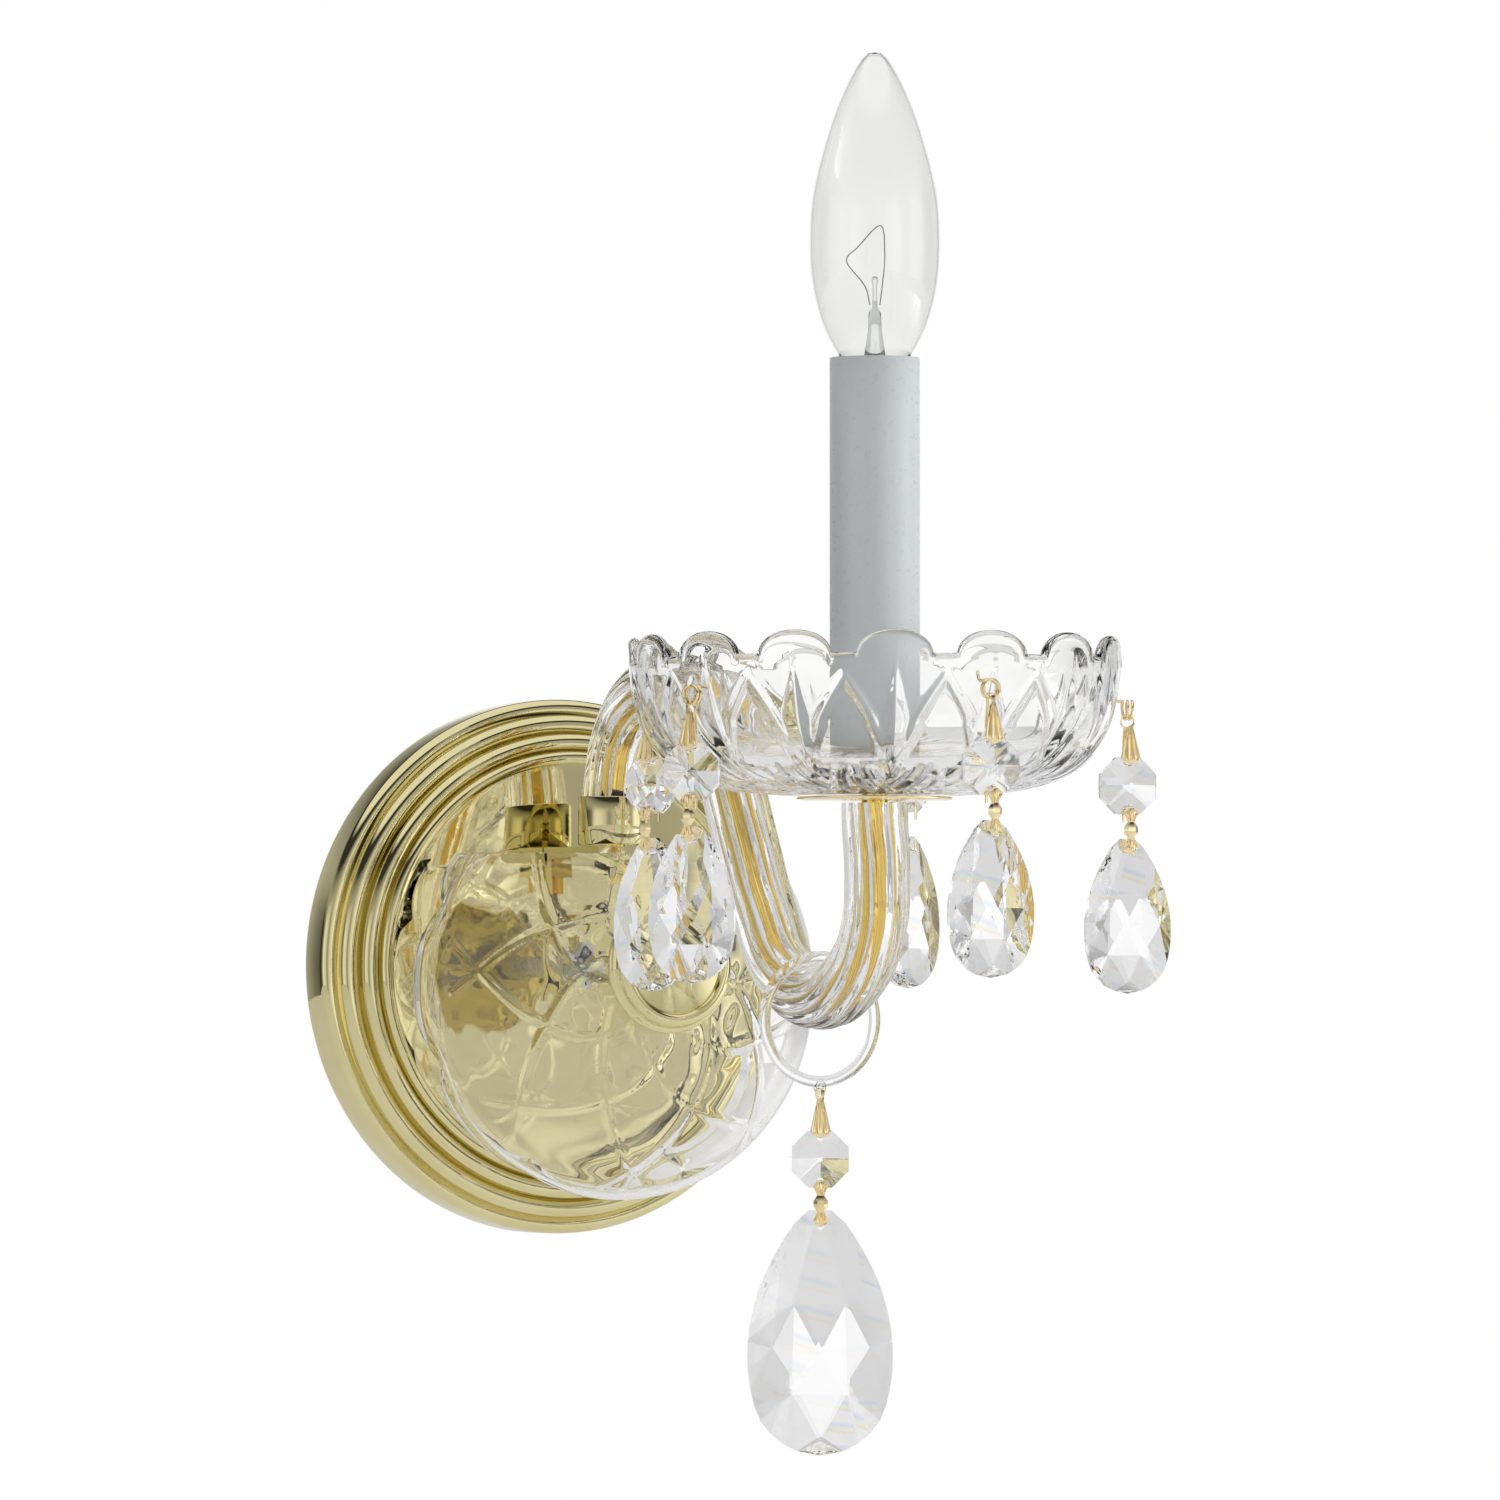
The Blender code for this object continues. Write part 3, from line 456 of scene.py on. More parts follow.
def make_ferrule():
    base, top, radius = 30.3, 42.6, 9.0
    outer = [(ARM_R + 0.4, top), (radius - 0.15, top), (radius, top - 0.2), (radius, base + 0.4)]
    outer += [(radius - 0.3, base), (TUBE_R + 0.3, base), (TUBE_R + 0.3, base + 1.0)]
    outer += [(ARM_R + 0.4, base + 1.0)]
    lathe_piece("arm_ferrule", outer, "polished_brass", 128, at=(0.0, -ARM_FOOT, 0.0))


def bowl_point(at_turn, radius, at):
    """A point of the half bowl from its angle, radius and distance out from the wall."""
    drop = BOWL_Z * np.clip((radius - 8.0) / 20.0, 0.0, 1.0)
    return np.stack([radius * np.cos(at_turn), -at + 0 * at_turn, radius * np.sin(at_turn) + drop], axis=-1)


BOWL_SHELL = [(BOWL_RIM_AT, 52.4), (36.0, 53.8), (44.0, 54.0), (50.0, 51.2), (55.5, 45.4), (60.0, 35.8)]
BOWL_SHELL += [(63.4, 23.0), (BOWL_EDGE, 10.0), (BOWL_EDGE, ROD_R + 0.3)]


def make_bowl():
    """Half bowl with a lobed rim, two families of crossing mitre cuts and short rays by the rim."""
    curve = softened(BOWL_SHELL, 14)
    curve[:, 0] = np.minimum(curve[:, 0], BOWL_EDGE)
    count = BOWL_STEPS
    turn = np.linspace(0, 2 * np.pi, count, endpoint=False)
    dent = BOWL_LOBE_DEPTH * (1.0 - np.abs(np.cos(BOWL_LOBES / 2 * turn))) ** 2

    def lobed(radius, at):
        """The radius with the rim's lobes, which fade out 12 mm in front of the rim."""
        return radius - dent * max(0.0, 1.0 - (at - BOWL_RIM_AT) / 12.0)

    outer = [bowl_point(turn, lobed(radius, at), at) for at, radius in curve]
    inner = []
    for at, radius in curve[::3][::-1]:
        back = min(BOWL_WALL, max(0.0, (at - 36.0) / 4.0))
        thin = BOWL_WALL * min(1.0, radius / 40.0) if radius > 9 else 0.0
        swell = 0.85 * np.sin(7 * turn + radius * 0.9) * np.sin(radius * 0.55 + 2 * np.sin(3 * turn))
        swell *= np.clip((34.0 - radius) / 8.0, 0.0, 1.0) * min(1.0, max(0.0, (radius - 8.0) / 4.0))
        inner.append(bowl_point(turn, lobed(radius, at) - thin, at - back - 0.5 * (radius > 8.0) + swell))
    outer = np.array(outer)
    radii = curve[:, 1]

    def at_radius(radius):
        """Distance out from the wall on the front of the bowl at this radius."""
        front = curve[curve[:, 0] >= 40.0]
        return np.interp(radius, front[::-1, 1], front[::-1, 0])

    def cut_between(r0, t0, r1, t1, steps=14):
        made = []
        for s in np.linspace(0, 1, steps):
            r, t = r0 + (r1 - r0) * s, math.radians(t0 + (t1 - t0) * s)
            made.append(bowl_point(np.array(t), np.array(r), at_radius(r)))
        return made

    deep, fine = [], []
    for k in range(BOWL_LOBES):
        mid = 360.0 / BOWL_LOBES * k - 4.0
        for side in (-1, 1):
            deep.append(cut_between(21.5, mid, 32.0, mid + side * 22.5))
            deep.append(cut_between(32.0, mid + side * 22.5, 46.5, mid))
            deep.append(cut_between(21.5, mid, 17.0, mid + side * 12.0))
        for lean in (-24.0, 0.0, 24.0):
            fine.append(cut_between(46.5, mid, 51.5, mid + lean * 0.28))
    flat = outer.reshape(-1, 3)
    sunk = np.maximum(grooves(flat, deep, 1.3, 0.55), grooves(flat, fine, 0.9, 0.3))
    normal = np.cross(np.gradient(outer, axis=1), np.gradient(outer, axis=0))
    normal = normal.reshape(-1, 3)
    normal /= np.maximum(np.linalg.norm(normal, axis=1, keepdims=True), 1e-9)
    away = flat - np.array([0.0, -35.0, BOWL_Z])
    normal *= np.sign((normal * away).sum(1, keepdims=True))
    keep = np.repeat(np.clip((radii - 6.0) / 5.0, 0, 1), count)
    flat = flat - normal * (sunk * keep)[:, None]
    verts = np.vstack([flat, np.array(inner).reshape(-1, 3)])
    faces = grid_faces(len(verts) // count, count, wrap_rows=True)
    obj = piece("half_bowl_look", verts, faces, "cut_glass", sharp=60)
    bm = bmesh.new()
    bm.from_mesh(obj.data)
    whole = bm.verts[:] + bm.edges[:] + bm.faces[:]
    cut = Vector((0, 0, BOWL_CUT * MM))
    bmesh.ops.bisect_plane(bm, geom=whole, plane_co=cut, plane_no=(0, 0, 1), clear_outer=True, dist=1e-7)
    open_edges = [e for e in bm.edges if e.is_boundary]
    bmesh.ops.edgeloop_fill(bm, edges=open_edges)
    bmesh.ops.triangulate(bm, faces=[f for f in bm.faces if len(f.verts) > 4])
    bmesh.ops.recalc_face_normals(bm, faces=bm.faces)
    bm.to_mesh(obj.data)
    bm.free()
    obj.data.set_sharp_from_angle(angle=math.radians(60))


# ------------------------------------------------------------------ arm


def arm_route(extra_start=(), extra_end=()):
    """The arm's centreline as dense points, from the same key points and handles as the CAD."""
    arch = [(ARM_FOOT, 32.0), (ARM_FOOT, 37.5), (39.1, 44.6), (45.0, 59.2), (56.0, 67.6), (70.0, 70.3)]
    arch += [(84.0, 66.8), (95.0, 56.6), (103.0, 42.0)]
    sweep = [(110.4, 27.6), (118.6, 12.4), (131.0, -3.2), (ARM_LOW_AT, ARM_LOW)]
    rise = [(165.4, -3.1), (174.9, 8.0), (176.7, 21.0), (CANDLE, 34.0), (CANDLE, 38.4)]
    keys = list(extra_start) + arch + sweep + rise + list(extra_end)
    curve = bpy.data.curves.new("route", "CURVE")
    curve.dimensions = "3D"
    curve.resolution_u = 12
    spline = curve.splines.new("BEZIER")
    spline.bezier_points.add(len(keys) - 1)
    for point, (d, z) in zip(spline.bezier_points, keys):
        point.co = (0.0, -d, z)
        point.handle_left_type = "AUTO"
        point.handle_right_type = "AUTO"
    guide = bpy.data.objects.new("route", curve)
    SCENE.collection.objects.link(guide)
    bpy.context.view_layer.update()
    mesh = guide.evaluated_get(bpy.context.evaluated_depsgraph_get()).to_mesh()
    made = np.array([v.co for v in mesh.vertices])
    bpy.data.objects.remove(guide, do_unlink=True)
    bpy.data.curves.remove(curve)
    return made


def make_arm():
    """Reeded glass arm with a bore, and the gilt tube in it."""
    route = arm_route()

    def reeded(turn, share):
        angle = turn + ARM_TWIST * (share - 0.5)
        wave = np.abs(np.sin(angle * ARM_REEDS / 2))
        return ARM_R - ARM_REED_DEPTH * (1.0 - wave)

    def hollow(name, path, outer, inner, slot, sharp):
        """A bored piece, from its outer and inner surfaces along one path."""
        rows = len(path)
        sides = len(outer) // rows
        verts = np.vstack([outer.reshape(rows, sides, 3), inner.reshape(rows, sides, 3)[::-1]]).reshape(-1, 3)
        piece(name, verts, grid_faces(2 * rows, sides, wrap_rows=True), slot, sharp=sharp)

    outer, _ = swept(route, ARM_R, ARM_SIDES, section=reeded, caps=False)
    inner, _ = swept(route, ARM_BORE, ARM_SIDES, caps=False)
    hollow("glass_arm_look", route, outer, inner, "drawn_glass", 60)
    tube = arm_route([(ARM_FOOT, 19.5), (ARM_FOOT, 25.0)], [(CANDLE, 54.0)])
    outer, _ = swept(tube, TUBE_R, TUBE_SIDES, caps=False)
    inner, _ = swept(tube, TUBE_BORE, TUBE_SIDES, caps=False)
    hollow("arm_tube_look", tube, outer, inner, "gilt_tube", 50)


# ------------------------------------------------------------------ dish and candle


def rim_height(turn):
    """Height of the dish's scalloped edge: round tabs with short flat valleys."""
    step = 2 * np.pi / DISH_LOBES
    off = (turn + step / 2) % step - step / 2
    share = np.clip(np.abs(off) * 59.0 / 9.2, 0, 1)
    return 73.0 + 5.6 * np.sqrt(np.clip(1 - share**2.2, 0, 1))


def make_dish():
    """Cut glass dish: scalloped rim, tall wedge flutes, crossing mitres and a rayed floor."""
    outside = [(4.6, DISH_FLOOR), (12.0, DISH_FLOOR), (20.0, DISH_FLOOR), (34.0, 41.2), (42.6, 43.2)]
    outside += [(48.6, 45.9), (53.2, 50.2), (57.0, 56.6), (58.8, 63.6), (DISH_R, DISH_WALL_TOP)]
    inside = [(56.7, DISH_WALL_TOP), (55.6, 63.6), (53.3, 56.8), (49.0, 51.4), (43.0, 48.0), (34.0, 46.0)]
    inside += [(20.0, 45.5), (4.6, 45.5)]
    skirt = softened(outside, 9)
    skirt[:, 1] = np.maximum(skirt[:, 1], DISH_FLOOR)
    lining = softened(inside, 5)
    count = DISH_STEPS
    turn = np.linspace(0, 2 * np.pi, count, endpoint=False)
    top = rim_height(turn)

    def hoop(radius, height):
        radius = radius + 0 * turn
        height = height + 0 * turn
        return np.stack([radius * np.sin(turn), -radius * np.cos(turn), height], axis=-1)

    outer = [hoop(r, z) for r, z in skirt]
    for share in (0.35, 0.7, 1.0):
        outer.append(hoop(DISH_R + 0.28 * share, DISH_WALL_TOP + (top - DISH_BEAD - DISH_WALL_TOP) * share))
    bead = []
    for a in np.radians(range(15, 180, 15)):
        bead.append(hoop(58.45 + 1.53 * math.cos(a), top - DISH_BEAD + DISH_BEAD * math.sin(a)))
    wall = []
    for share in (1.0, 0.6, 0.25):
        wall.append(hoop(56.9 - 0.2 * (1 - share), DISH_WALL_TOP + (top - DISH_BEAD - DISH_WALL_TOP) * share))
    inner = [hoop(r, z) for r, z in lining]
    outer = np.array(outer)

    def on_skirt(height):
        return np.interp(height, skirt[12:, 1], skirt[12:, 0])

    def cut_up(z0, a0, z1, a1, bow=0.0, steps=16):
        made = []
        for s in np.linspace(0, 1, steps):
            z = z0 + (z1 - z0) * s
            a = math.radians(a0 + (a1 - a0) * s + bow * math.sin(math.pi * s))
            r = on_skirt(z)
            made.append((r * math.sin(a), -r * math.cos(a), z))
        return made

    def cut_floor(r0, a0, r1, a1, steps=10):
        made = []
        for s in np.linspace(0, 1, steps):
            r, a = r0 + (r1 - r0) * s, math.radians(a0 + (a1 - a0) * s)
            made.append((r * math.sin(a), -r * math.cos(a), np.interp(r, skirt[:, 0], skirt[:, 1])))
        return made

    mitres, rays = [], []
    step = 360.0 / DISH_LOBES
    for k in range(DISH_LOBES):
        mid = k * step
        for side in (-1, 1):
            mitres.append(cut_up(67.5, mid + step / 2, 44.0, mid + step / 2 - side * step * 0.5, side * -1.2))
            mitres.append(cut_up(44.0, mid, 56.0, mid + side * step * 0.24))
            rays.append(cut_floor(21.0, mid, 40.5, mid + side * step * 0.26))
        rays.append(cut_floor(21.0, mid + step / 2, 43.5, mid + step / 2))
    flat = outer.reshape(-1, 3)
    sunk = np.maximum(grooves(flat, mitres, 1.5, 0.8), grooves(flat, rays, 1.7, 0.8))
    # Wedge flutes: narrow at the top and wide at the foot, under each tab
    angle = np.degrees(np.arctan2(flat[:, 0], -flat[:, 1]))
    off = np.abs((angle + step / 2) % step - step / 2) * math.radians(1) * np.hypot(flat[:, 0], flat[:, 1])
    height = flat[:, 2]
    half = np.interp(height, [46.0, 51.0, 70.0], [0.6, 4.9, 0.3])
    wedge = np.clip(1 - off / half, 0, 1) * np.interp(height, [46.0, 50.0, 66.0, 70.5], [0.0, 1.8, 0.8, 0.0])
    sunk = np.maximum(sunk, wedge * (height < 70.5))
    normal = np.cross(np.gradient(outer, axis=1), np.gradient(outer, axis=0)).reshape(-1, 3)
    normal /= np.maximum(np.linalg.norm(normal, axis=1, keepdims=True), 1e-9)
    normal *= np.sign((normal * (flat - np.array([0, 0, 62.0]))).sum(1, keepdims=True))
    flat = flat - normal * sunk[:, None]
    verts = np.vstack([flat, np.array(bead + wall + inner).reshape(-1, 3)])
    rows = len(verts) // count
    verts = moved(verts, 0.0, -CANDLE, 0.0)
    piece("bobeche_look", verts, grid_faces(rows, count, wrap_rows=True), "cut_glass", sharp=70)


def make_dish_plate():
    outer = [(19.0, 39.7), (18.8, 39.85), (TUBE_R + 0.3, 39.85), (TUBE_R + 0.3, 38.9), (12.0, 38.9)]
    outer += [(18.0, 39.1), (18.9, 39.25), (19.0, 39.45)]
    lathe_piece("dish_plate", outer, "gilt_wire", 128)


def make_candle():
    edge = SLEEVE_R - 0.15
    outer = [(SLEEVE_BORE, SLEEVE_TOP), (edge, SLEEVE_TOP), (SLEEVE_R, SLEEVE_TOP - 0.2), (SLEEVE_R, 120.0)]
    outer += [(SLEEVE_R, 90.0), (SLEEVE_R, SLEEVE_FOOT + 0.2), (edge, SLEEVE_FOOT)]
    outer += [(SLEEVE_BORE, SLEEVE_FOOT)]
    lathe_piece("candle_sleeve", outer, "candle_sleeve", 128)


# ------------------------------------------------------------------ lamp


def make_lamp():
    outline = [(0.0, 221.0), (0.9, 220.9), (1.9, 220.5), (3.5, 218.9), (5.3, 216.0), (7.7, 211.2)]
    outline += [(10.4, 204.4), (12.5, 197.6), (14.3, 190.8), (15.5, 184.0), (15.95, 176.0), (15.7, 168.0)]
    outline += [(14.45, 160.4), (12.35, 153.6), (9.55, 148.2), (7.15, 144.4), (5.2, 141.6), (4.95, 139.0)]
    outline += [(4.95, 133.0)]
    outer = softened(outline, 6)
    outer[:, 0] = np.maximum(outer[:, 0], 0.0)
    run = np.gradient(outer, axis=0)
    run /= np.linalg.norm(run, axis=1, keepdims=True)
    inner = outer + BULB_WALL * np.stack([run[:, 1], -run[:, 0]], axis=1)
    inner[0] = (0.0, outer[0, 1] - BULB_WALL)
    inner[-1] = (outer[-1, 0] - BULB_WALL, outer[-1, 1])
    inner[:, 0] = np.maximum(inner[:, 0], 0.0)
    inner = inner[::-1]
    shell = np.vstack([outer, inner])
    lathe_piece("bulb_glass", shell, "lamp_glass", 96, body="lamp", sharp=80, turn=BULB_TURN)
    stem = [(0.0, 166.5), (0.6, 166.2), (0.9, 165.4), (0.55, 164.2), (0.6, 158.8), (1.5, 157.6), (1.7, 153.0)]
    stem += [(2.5, 148.0), (3.5, 141.5), (3.6, 139.0), (0.0, 139.0)]
    lathe_piece("bulb_stem", stem, "lamp_glass", 48, body="lamp", sharp=50, turn=BULB_TURN)
    thread = [(5.35, 140.6), (5.75, 140.6)]
    for k in range(5):
        z = 139.4 - THREAD_PITCH * k
        thread += [(5.75, z), (5.9, z - 0.6), (5.9, z - 1.1), (5.7, z - 1.7)]
    thread += [(5.7, 126.6), (4.9, 124.4), (2.8, 123.2), (1.2, 123.2), (1.2, 124.4), (4.4, 126.6)]
    thread += [(5.35, 127.6)]
    lathe_piece("bulb_base", thread, "lamp_cap", 64, body="lamp", turn=BULB_TURN)
    route = [(-1.2, 159.4), (-2.4, 164.0), (-6.4, 169.0), (-6.6, 171.2), (-4.4, 173.2)]
    route += [(1.4, 178.8), (2.4, 171.6), (1.9, 165.0), (1.2, 159.4)]
    points = softened([(x, -0.9, z) for x, z in route], 5)
    verts, faces = swept(points, 0.15, 10)
    piece("bulb_filament_look", moved(verts, 0, -CANDLE, 0, BULB_TURN), faces, "lamp_filament", "lamp")


# ------------------------------------------------------------------ hanging crystals


def coil():
    """Jump ring: a tail through the dish's wall and two turns of wire."""
    side_view = [(7.6, 2.4), (7.5, 1.2), (7.0, 0.35), (6.2, 0.0), (4.4, 0.0), (2.6, 0.0)]
    tail = [(0.0, y, z) for y, z in side_view]
    turns = []
    steps = 66
    for i in range(steps + 1):
        a = 2 * math.pi * COIL_TURNS * i / steps
        across = COIL_SPREAD / 2 - COIL_SPREAD * i / steps
        turns.append((COIL_R * math.sin(a), across, COIL_R * (math.cos(a) - 1.0)))
    return swept(np.array(list(softened(tail, 4)) + turns), COIL_WIRE, 12)


def pressed_strip(path, twist, twist_from, twist_to, across=25):
    """Bent strip with pressed flutes. path rows are (y, z, width, thickness, ribs, rib depth)."""
    keys = np.asarray(path, float)
    rows = softened(keys, 4)
    rows[:, 2:] = np.maximum(rows[:, 2:], keys[:, 2:].min(0))
    run = np.gradient(rows[:, :2], axis=0)
    run /= np.maximum(np.linalg.norm(run, axis=1, keepdims=True), 1e-9)
    side = np.stack([-run[:, 1], run[:, 0]], axis=1)
    share = np.linspace(-1, 1, across)
    rings = []
    for (y, z, width, thick, ribs, rib), out in zip(rows, side):
        wave = rib * (np.abs(np.cos(share * np.pi / 2 * max(ribs, 0.0))) - 0.5)
        edge = 1.0 - 0.35 * np.abs(share) ** 6
        rise = thick / 2 * edge + wave
        back = -thick / 2 * edge + wave
        top = [(w * width / 2, y + out[0] * d, z + out[1] * d) for w, d in zip(share, rise)]
        low = [(w * width / 2, y + out[0] * d, z + out[1] * d) for w, d in zip(share, back)][::-1]
        turned = min(max((twist_from - z) / (twist_from - twist_to), 0.0), 1.0)
        rings.append(moved(np.array(top + low), 0, 0, 0, twist * turned))
    rings = np.array(rings)
    count = 2 * across
    faces = grid_faces(len(rings), count)
    faces.append(tuple(range(count)))
    faces.append(tuple((len(rings) - 1) * count + i for i in range(count))[::-1])
    return rings.reshape(-1, 3), faces


def bail(twist):
    """Fluted fan in front, hook over the ring and a thin leg behind."""
    thin = 0.3
    path = [
        (2.3, -BAIL_LENGTH, 0.7, thin, 0, 0),
        (0.0, -BAIL_LENGTH, 0.7, thin, 0, 0),
        (-2.1, -BAIL_LENGTH, 0.8, thin, 0, 0),
        (-2.7, -10.75, 1.6, thin, 3, 0.03),
        (-2.85, -10.2, 3.6, thin, 9, 0.1),
        (-2.85, -9.5, 4.9, thin, 9, 0.24),
        (-2.55, -7.4, 4.1, thin, 9, 0.24),
        (-2.2, -4.8, 3.0, thin, 9, 0.2),
        (-1.75, -2.0, 1.7, thin, 9, 0.12),
        (-1.6, -1.1, 1.0, thin, 0, 0),
        (-1.5, -0.3, 0.9, thin, 0, 0),
        (-1.15, 0.75, 0.9, thin, 0, 0),
        (-0.45, 1.05, 0.9, thin, 0, 0),
        (0.45, 1.05, 0.9, thin, 0, 0),
        (1.15, 0.75, 0.9, thin, 0, 0),
        (1.5, -0.3, 0.9, thin, 0, 0),
        (1.6, -1.1, 0.8, thin, 0, 0),
        (1.75, -2.0, 0.8, thin, 0, 0),
        (2.3, -4.8, 0.9, thin, 0, 0),
        (2.75, -7.2, 0.8, thin, 0, 0),
    ]
    return pressed_strip(path, twist, -0.6, -2.0)


def bow_tie():
    """Two small fluted fans, a faceted boss between them, a pin through each crystal."""
    thin = 0.3
    end = -BOW_LENGTH
    path = [
        (2.75, -3.7, 0.7, thin, 0, 0),
        (2.75, -0.6, 0.8, thin, 0, 0),
        (2.35, -0.05, 0.7, thin, 0, 0),
        (0.0, 0.0, 0.7, thin, 0, 0),
        (-2.2, 0.0, 0.8, thin, 0, 0),
        (-2.75, -0.35, 1.7, thin, 7, 0.08),
        (-2.95, -1.2, 3.7, thin, 7, 0.2),
        (-2.98, -2.2, 2.9, thin, 7, 0.22),
        (-2.95, -3.5, 1.9, thin, 7, 0.16),
        (-2.95, -4.1, 1.5, thin, 0, 0),
        (-2.95, -5.65, 1.4, 0.4, 0, 0),
        (-2.95, -7.2, 1.5, thin, 0, 0),
        (-2.95, -7.8, 1.9, thin, 7, 0.16),
        (-2.98, -9.1, 2.9, thin, 7, 0.22),
        (-2.95, end + 1.2, 3.7, thin, 7, 0.2),
        (-2.75, end + 0.35, 1.7, thin, 7, 0.08),
        (-2.2, end, 0.8, thin, 0, 0),
        (0.0, end, 0.7, thin, 0, 0),
        (2.35, end + 0.05, 0.7, thin, 0, 0),
        (2.75, end + 0.6, 0.8, thin, 0, 0),
        (2.75, end + 2.7, 0.7, thin, 0, 0),
    ]
    body = pressed_strip(path, 0.0, -0.6, -2.0, 21)
    rows = [(0.9, -3.75), (1.75, -4.95), (1.75, -6.35), (0.9, -7.55)]
    turn = np.radians(np.arange(6) * 60.0)
    boss = []
    for r, z in rows:
        boss += [(r * math.cos(a), -2.95 + 0.58 * r * math.sin(a), z) for a in turn]
    faces = grid_faces(4, 6)
    faces += [tuple(range(6)), tuple(range(18, 24))[::-1]]
    return joined(body, (np.array(boss), faces))


def hull(points):
    """(verts, faces) of the convex hull of the points."""
    bm = bmesh.new()
    for p in points:
        bm.verts.new(p)
    made = bmesh.ops.convex_hull(bm, input=bm.verts)
    loose = [v for v in made["geom_interior"] if isinstance(v, bmesh.types.BMVert)]
    bmesh.ops.delete(bm, geom=loose, context="VERTS")
    bmesh.ops.dissolve_limit(bm, angle_limit=math.radians(0.8), verts=bm.verts, edges=bm.edges)
    bm.verts.index_update()
    verts = np.array([v.co for v in bm.verts])
    faces = [tuple(v.index for v in f.verts) for f in bm.faces]
    bm.free()
    return verts, faces


def drilled(shape, heights, radius=0.75):
    """The shape with holes front to back at these heights."""
    verts, faces = shape
    solids = [("blank", verts.tolist(), faces)]
    steps = 20
    turn = np.linspace(0, 2 * np.pi, steps, endpoint=False)
    for z in heights:
        bar = [(radius * math.cos(a), y, z + radius * math.sin(a)) for y in (-9.0, 9.0) for a in turn]
        ends = [tuple(range(steps)), tuple(range(steps, 2 * steps))[::-1]]
        solids.append(("bit", bar, grid_faces(2, steps) + ends))
    objects = []
    for name, points, sides in solids:
        mesh = bpy.data.meshes.new(name)
        mesh.from_pydata(points, [], sides)
        obj = bpy.data.objects.new(name, mesh)
        objects.append(obj)
        SCENE.collection.objects.link(obj)
        bm = bmesh.new()
        bm.from_mesh(obj.data)
        bmesh.ops.recalc_face_normals(bm, faces=bm.faces)
        bm.to_mesh(obj.data)
        bm.free()
    blank = objects[0]
    for bit in objects[1:]:
        cut = blank.modifiers.new("drill", "BOOLEAN")
        cut.solver = "EXACT"
        cut.object = bit
    bpy.context.view_layer.update()
    mesh = bpy.data.meshes.new_from_object(blank.evaluated_get(bpy.context.evaluated_depsgraph_get()))
    verts = np.array([v.co for v in mesh.vertices])
    faces = [tuple(p.vertices) for p in mesh.polygons]
    for obj in objects:
        bpy.data.objects.remove(obj, do_unlink=True)
    return verts, faces


def octagon():
    """Octagon bead: eight facets each side, their ridges running to the middles of the sides."""
    points = []
    centre_deep, side_deep, corner_deep = 3.4, 1.27, 0.9
    for face in (-1, 1):
        points.append((0.0, face * centre_deep, -OCTAGON_HOLE))
        for k in range(8):
            corner, middle = math.radians(45 * k + 22.5), math.radians(45 * k)
            reach = OCTAGON_FLAT / 2
            height = -OCTAGON_HOLE + reach * math.sin(middle)
            points.append((reach * math.cos(middle), face * side_deep, height))
            reach /= math.cos(math.pi / 8)
            height = -OCTAGON_HOLE + reach * math.sin(corner)
            points.append((reach * math.cos(corner), face * corner_deep, height))
    return drilled(hull(points), (0.0, -2 * OCTAGON_HOLE))


# Share of the length from the top, and share of the full width there
DROP_OUTLINE = ((0.01, 0.15), (0.06, 0.34), (0.12, 0.48), (0.19, 0.62), (0.26, 0.74), (0.33, 0.835))
DROP_OUTLINE += ((0.40, 0.905), (0.47, 0.955), (0.54, 0.985), (0.60, 0.989), (0.66, 0.984), (0.73, 0.95))
DROP_OUTLINE += ((0.80, 0.895), (0.86, 0.81), (0.91, 0.68), (0.95, 0.52), (0.98, 0.32))


def drop(size):
    """Teardrop cut: a long top kite, four central facets, a foot kite and a faceted border."""
    top = -BOW_LENGTH + size["hole"]
    half, deep = size["width"] / 2, size["depth"] / 2
    points = [(0.0, 0.0, top - size["length"])]
    for share, width in DROP_OUTLINE:
        for side in (-1, 1):
            for edge in (-0.75, 0.75):
                points.append((side * width * half, edge, top - size["length"] * share))
    front = ((0.08, 0.06, 0.36), (0.365, 0.32, 0.78), (0.563, 0.0, 1.0), (0.563, 0.66, 0.66))
    front += ((0.70, 0.36, 0.76), (0.92, 0.0, 0.36), (0.30, 0.56, 0.46), (0.80, 0.56, 0.42))
    back = ((0.08, 0.06, 0.36), (0.40, 0.30, 0.80), (0.563, 0.0, 0.97), (0.74, 0.34, 0.78), (0.93, 0.0, 0.36))
    for face, cuts in ((-1, front), (1, back)):
        for share, across, depth in cuts:
            for side in (-1, 1) if across else (1,):
                points.append((side * across * half, face * depth * deep, top - size["length"] * share))
    return drilled(hull(points), (-BOW_LENGTH,))


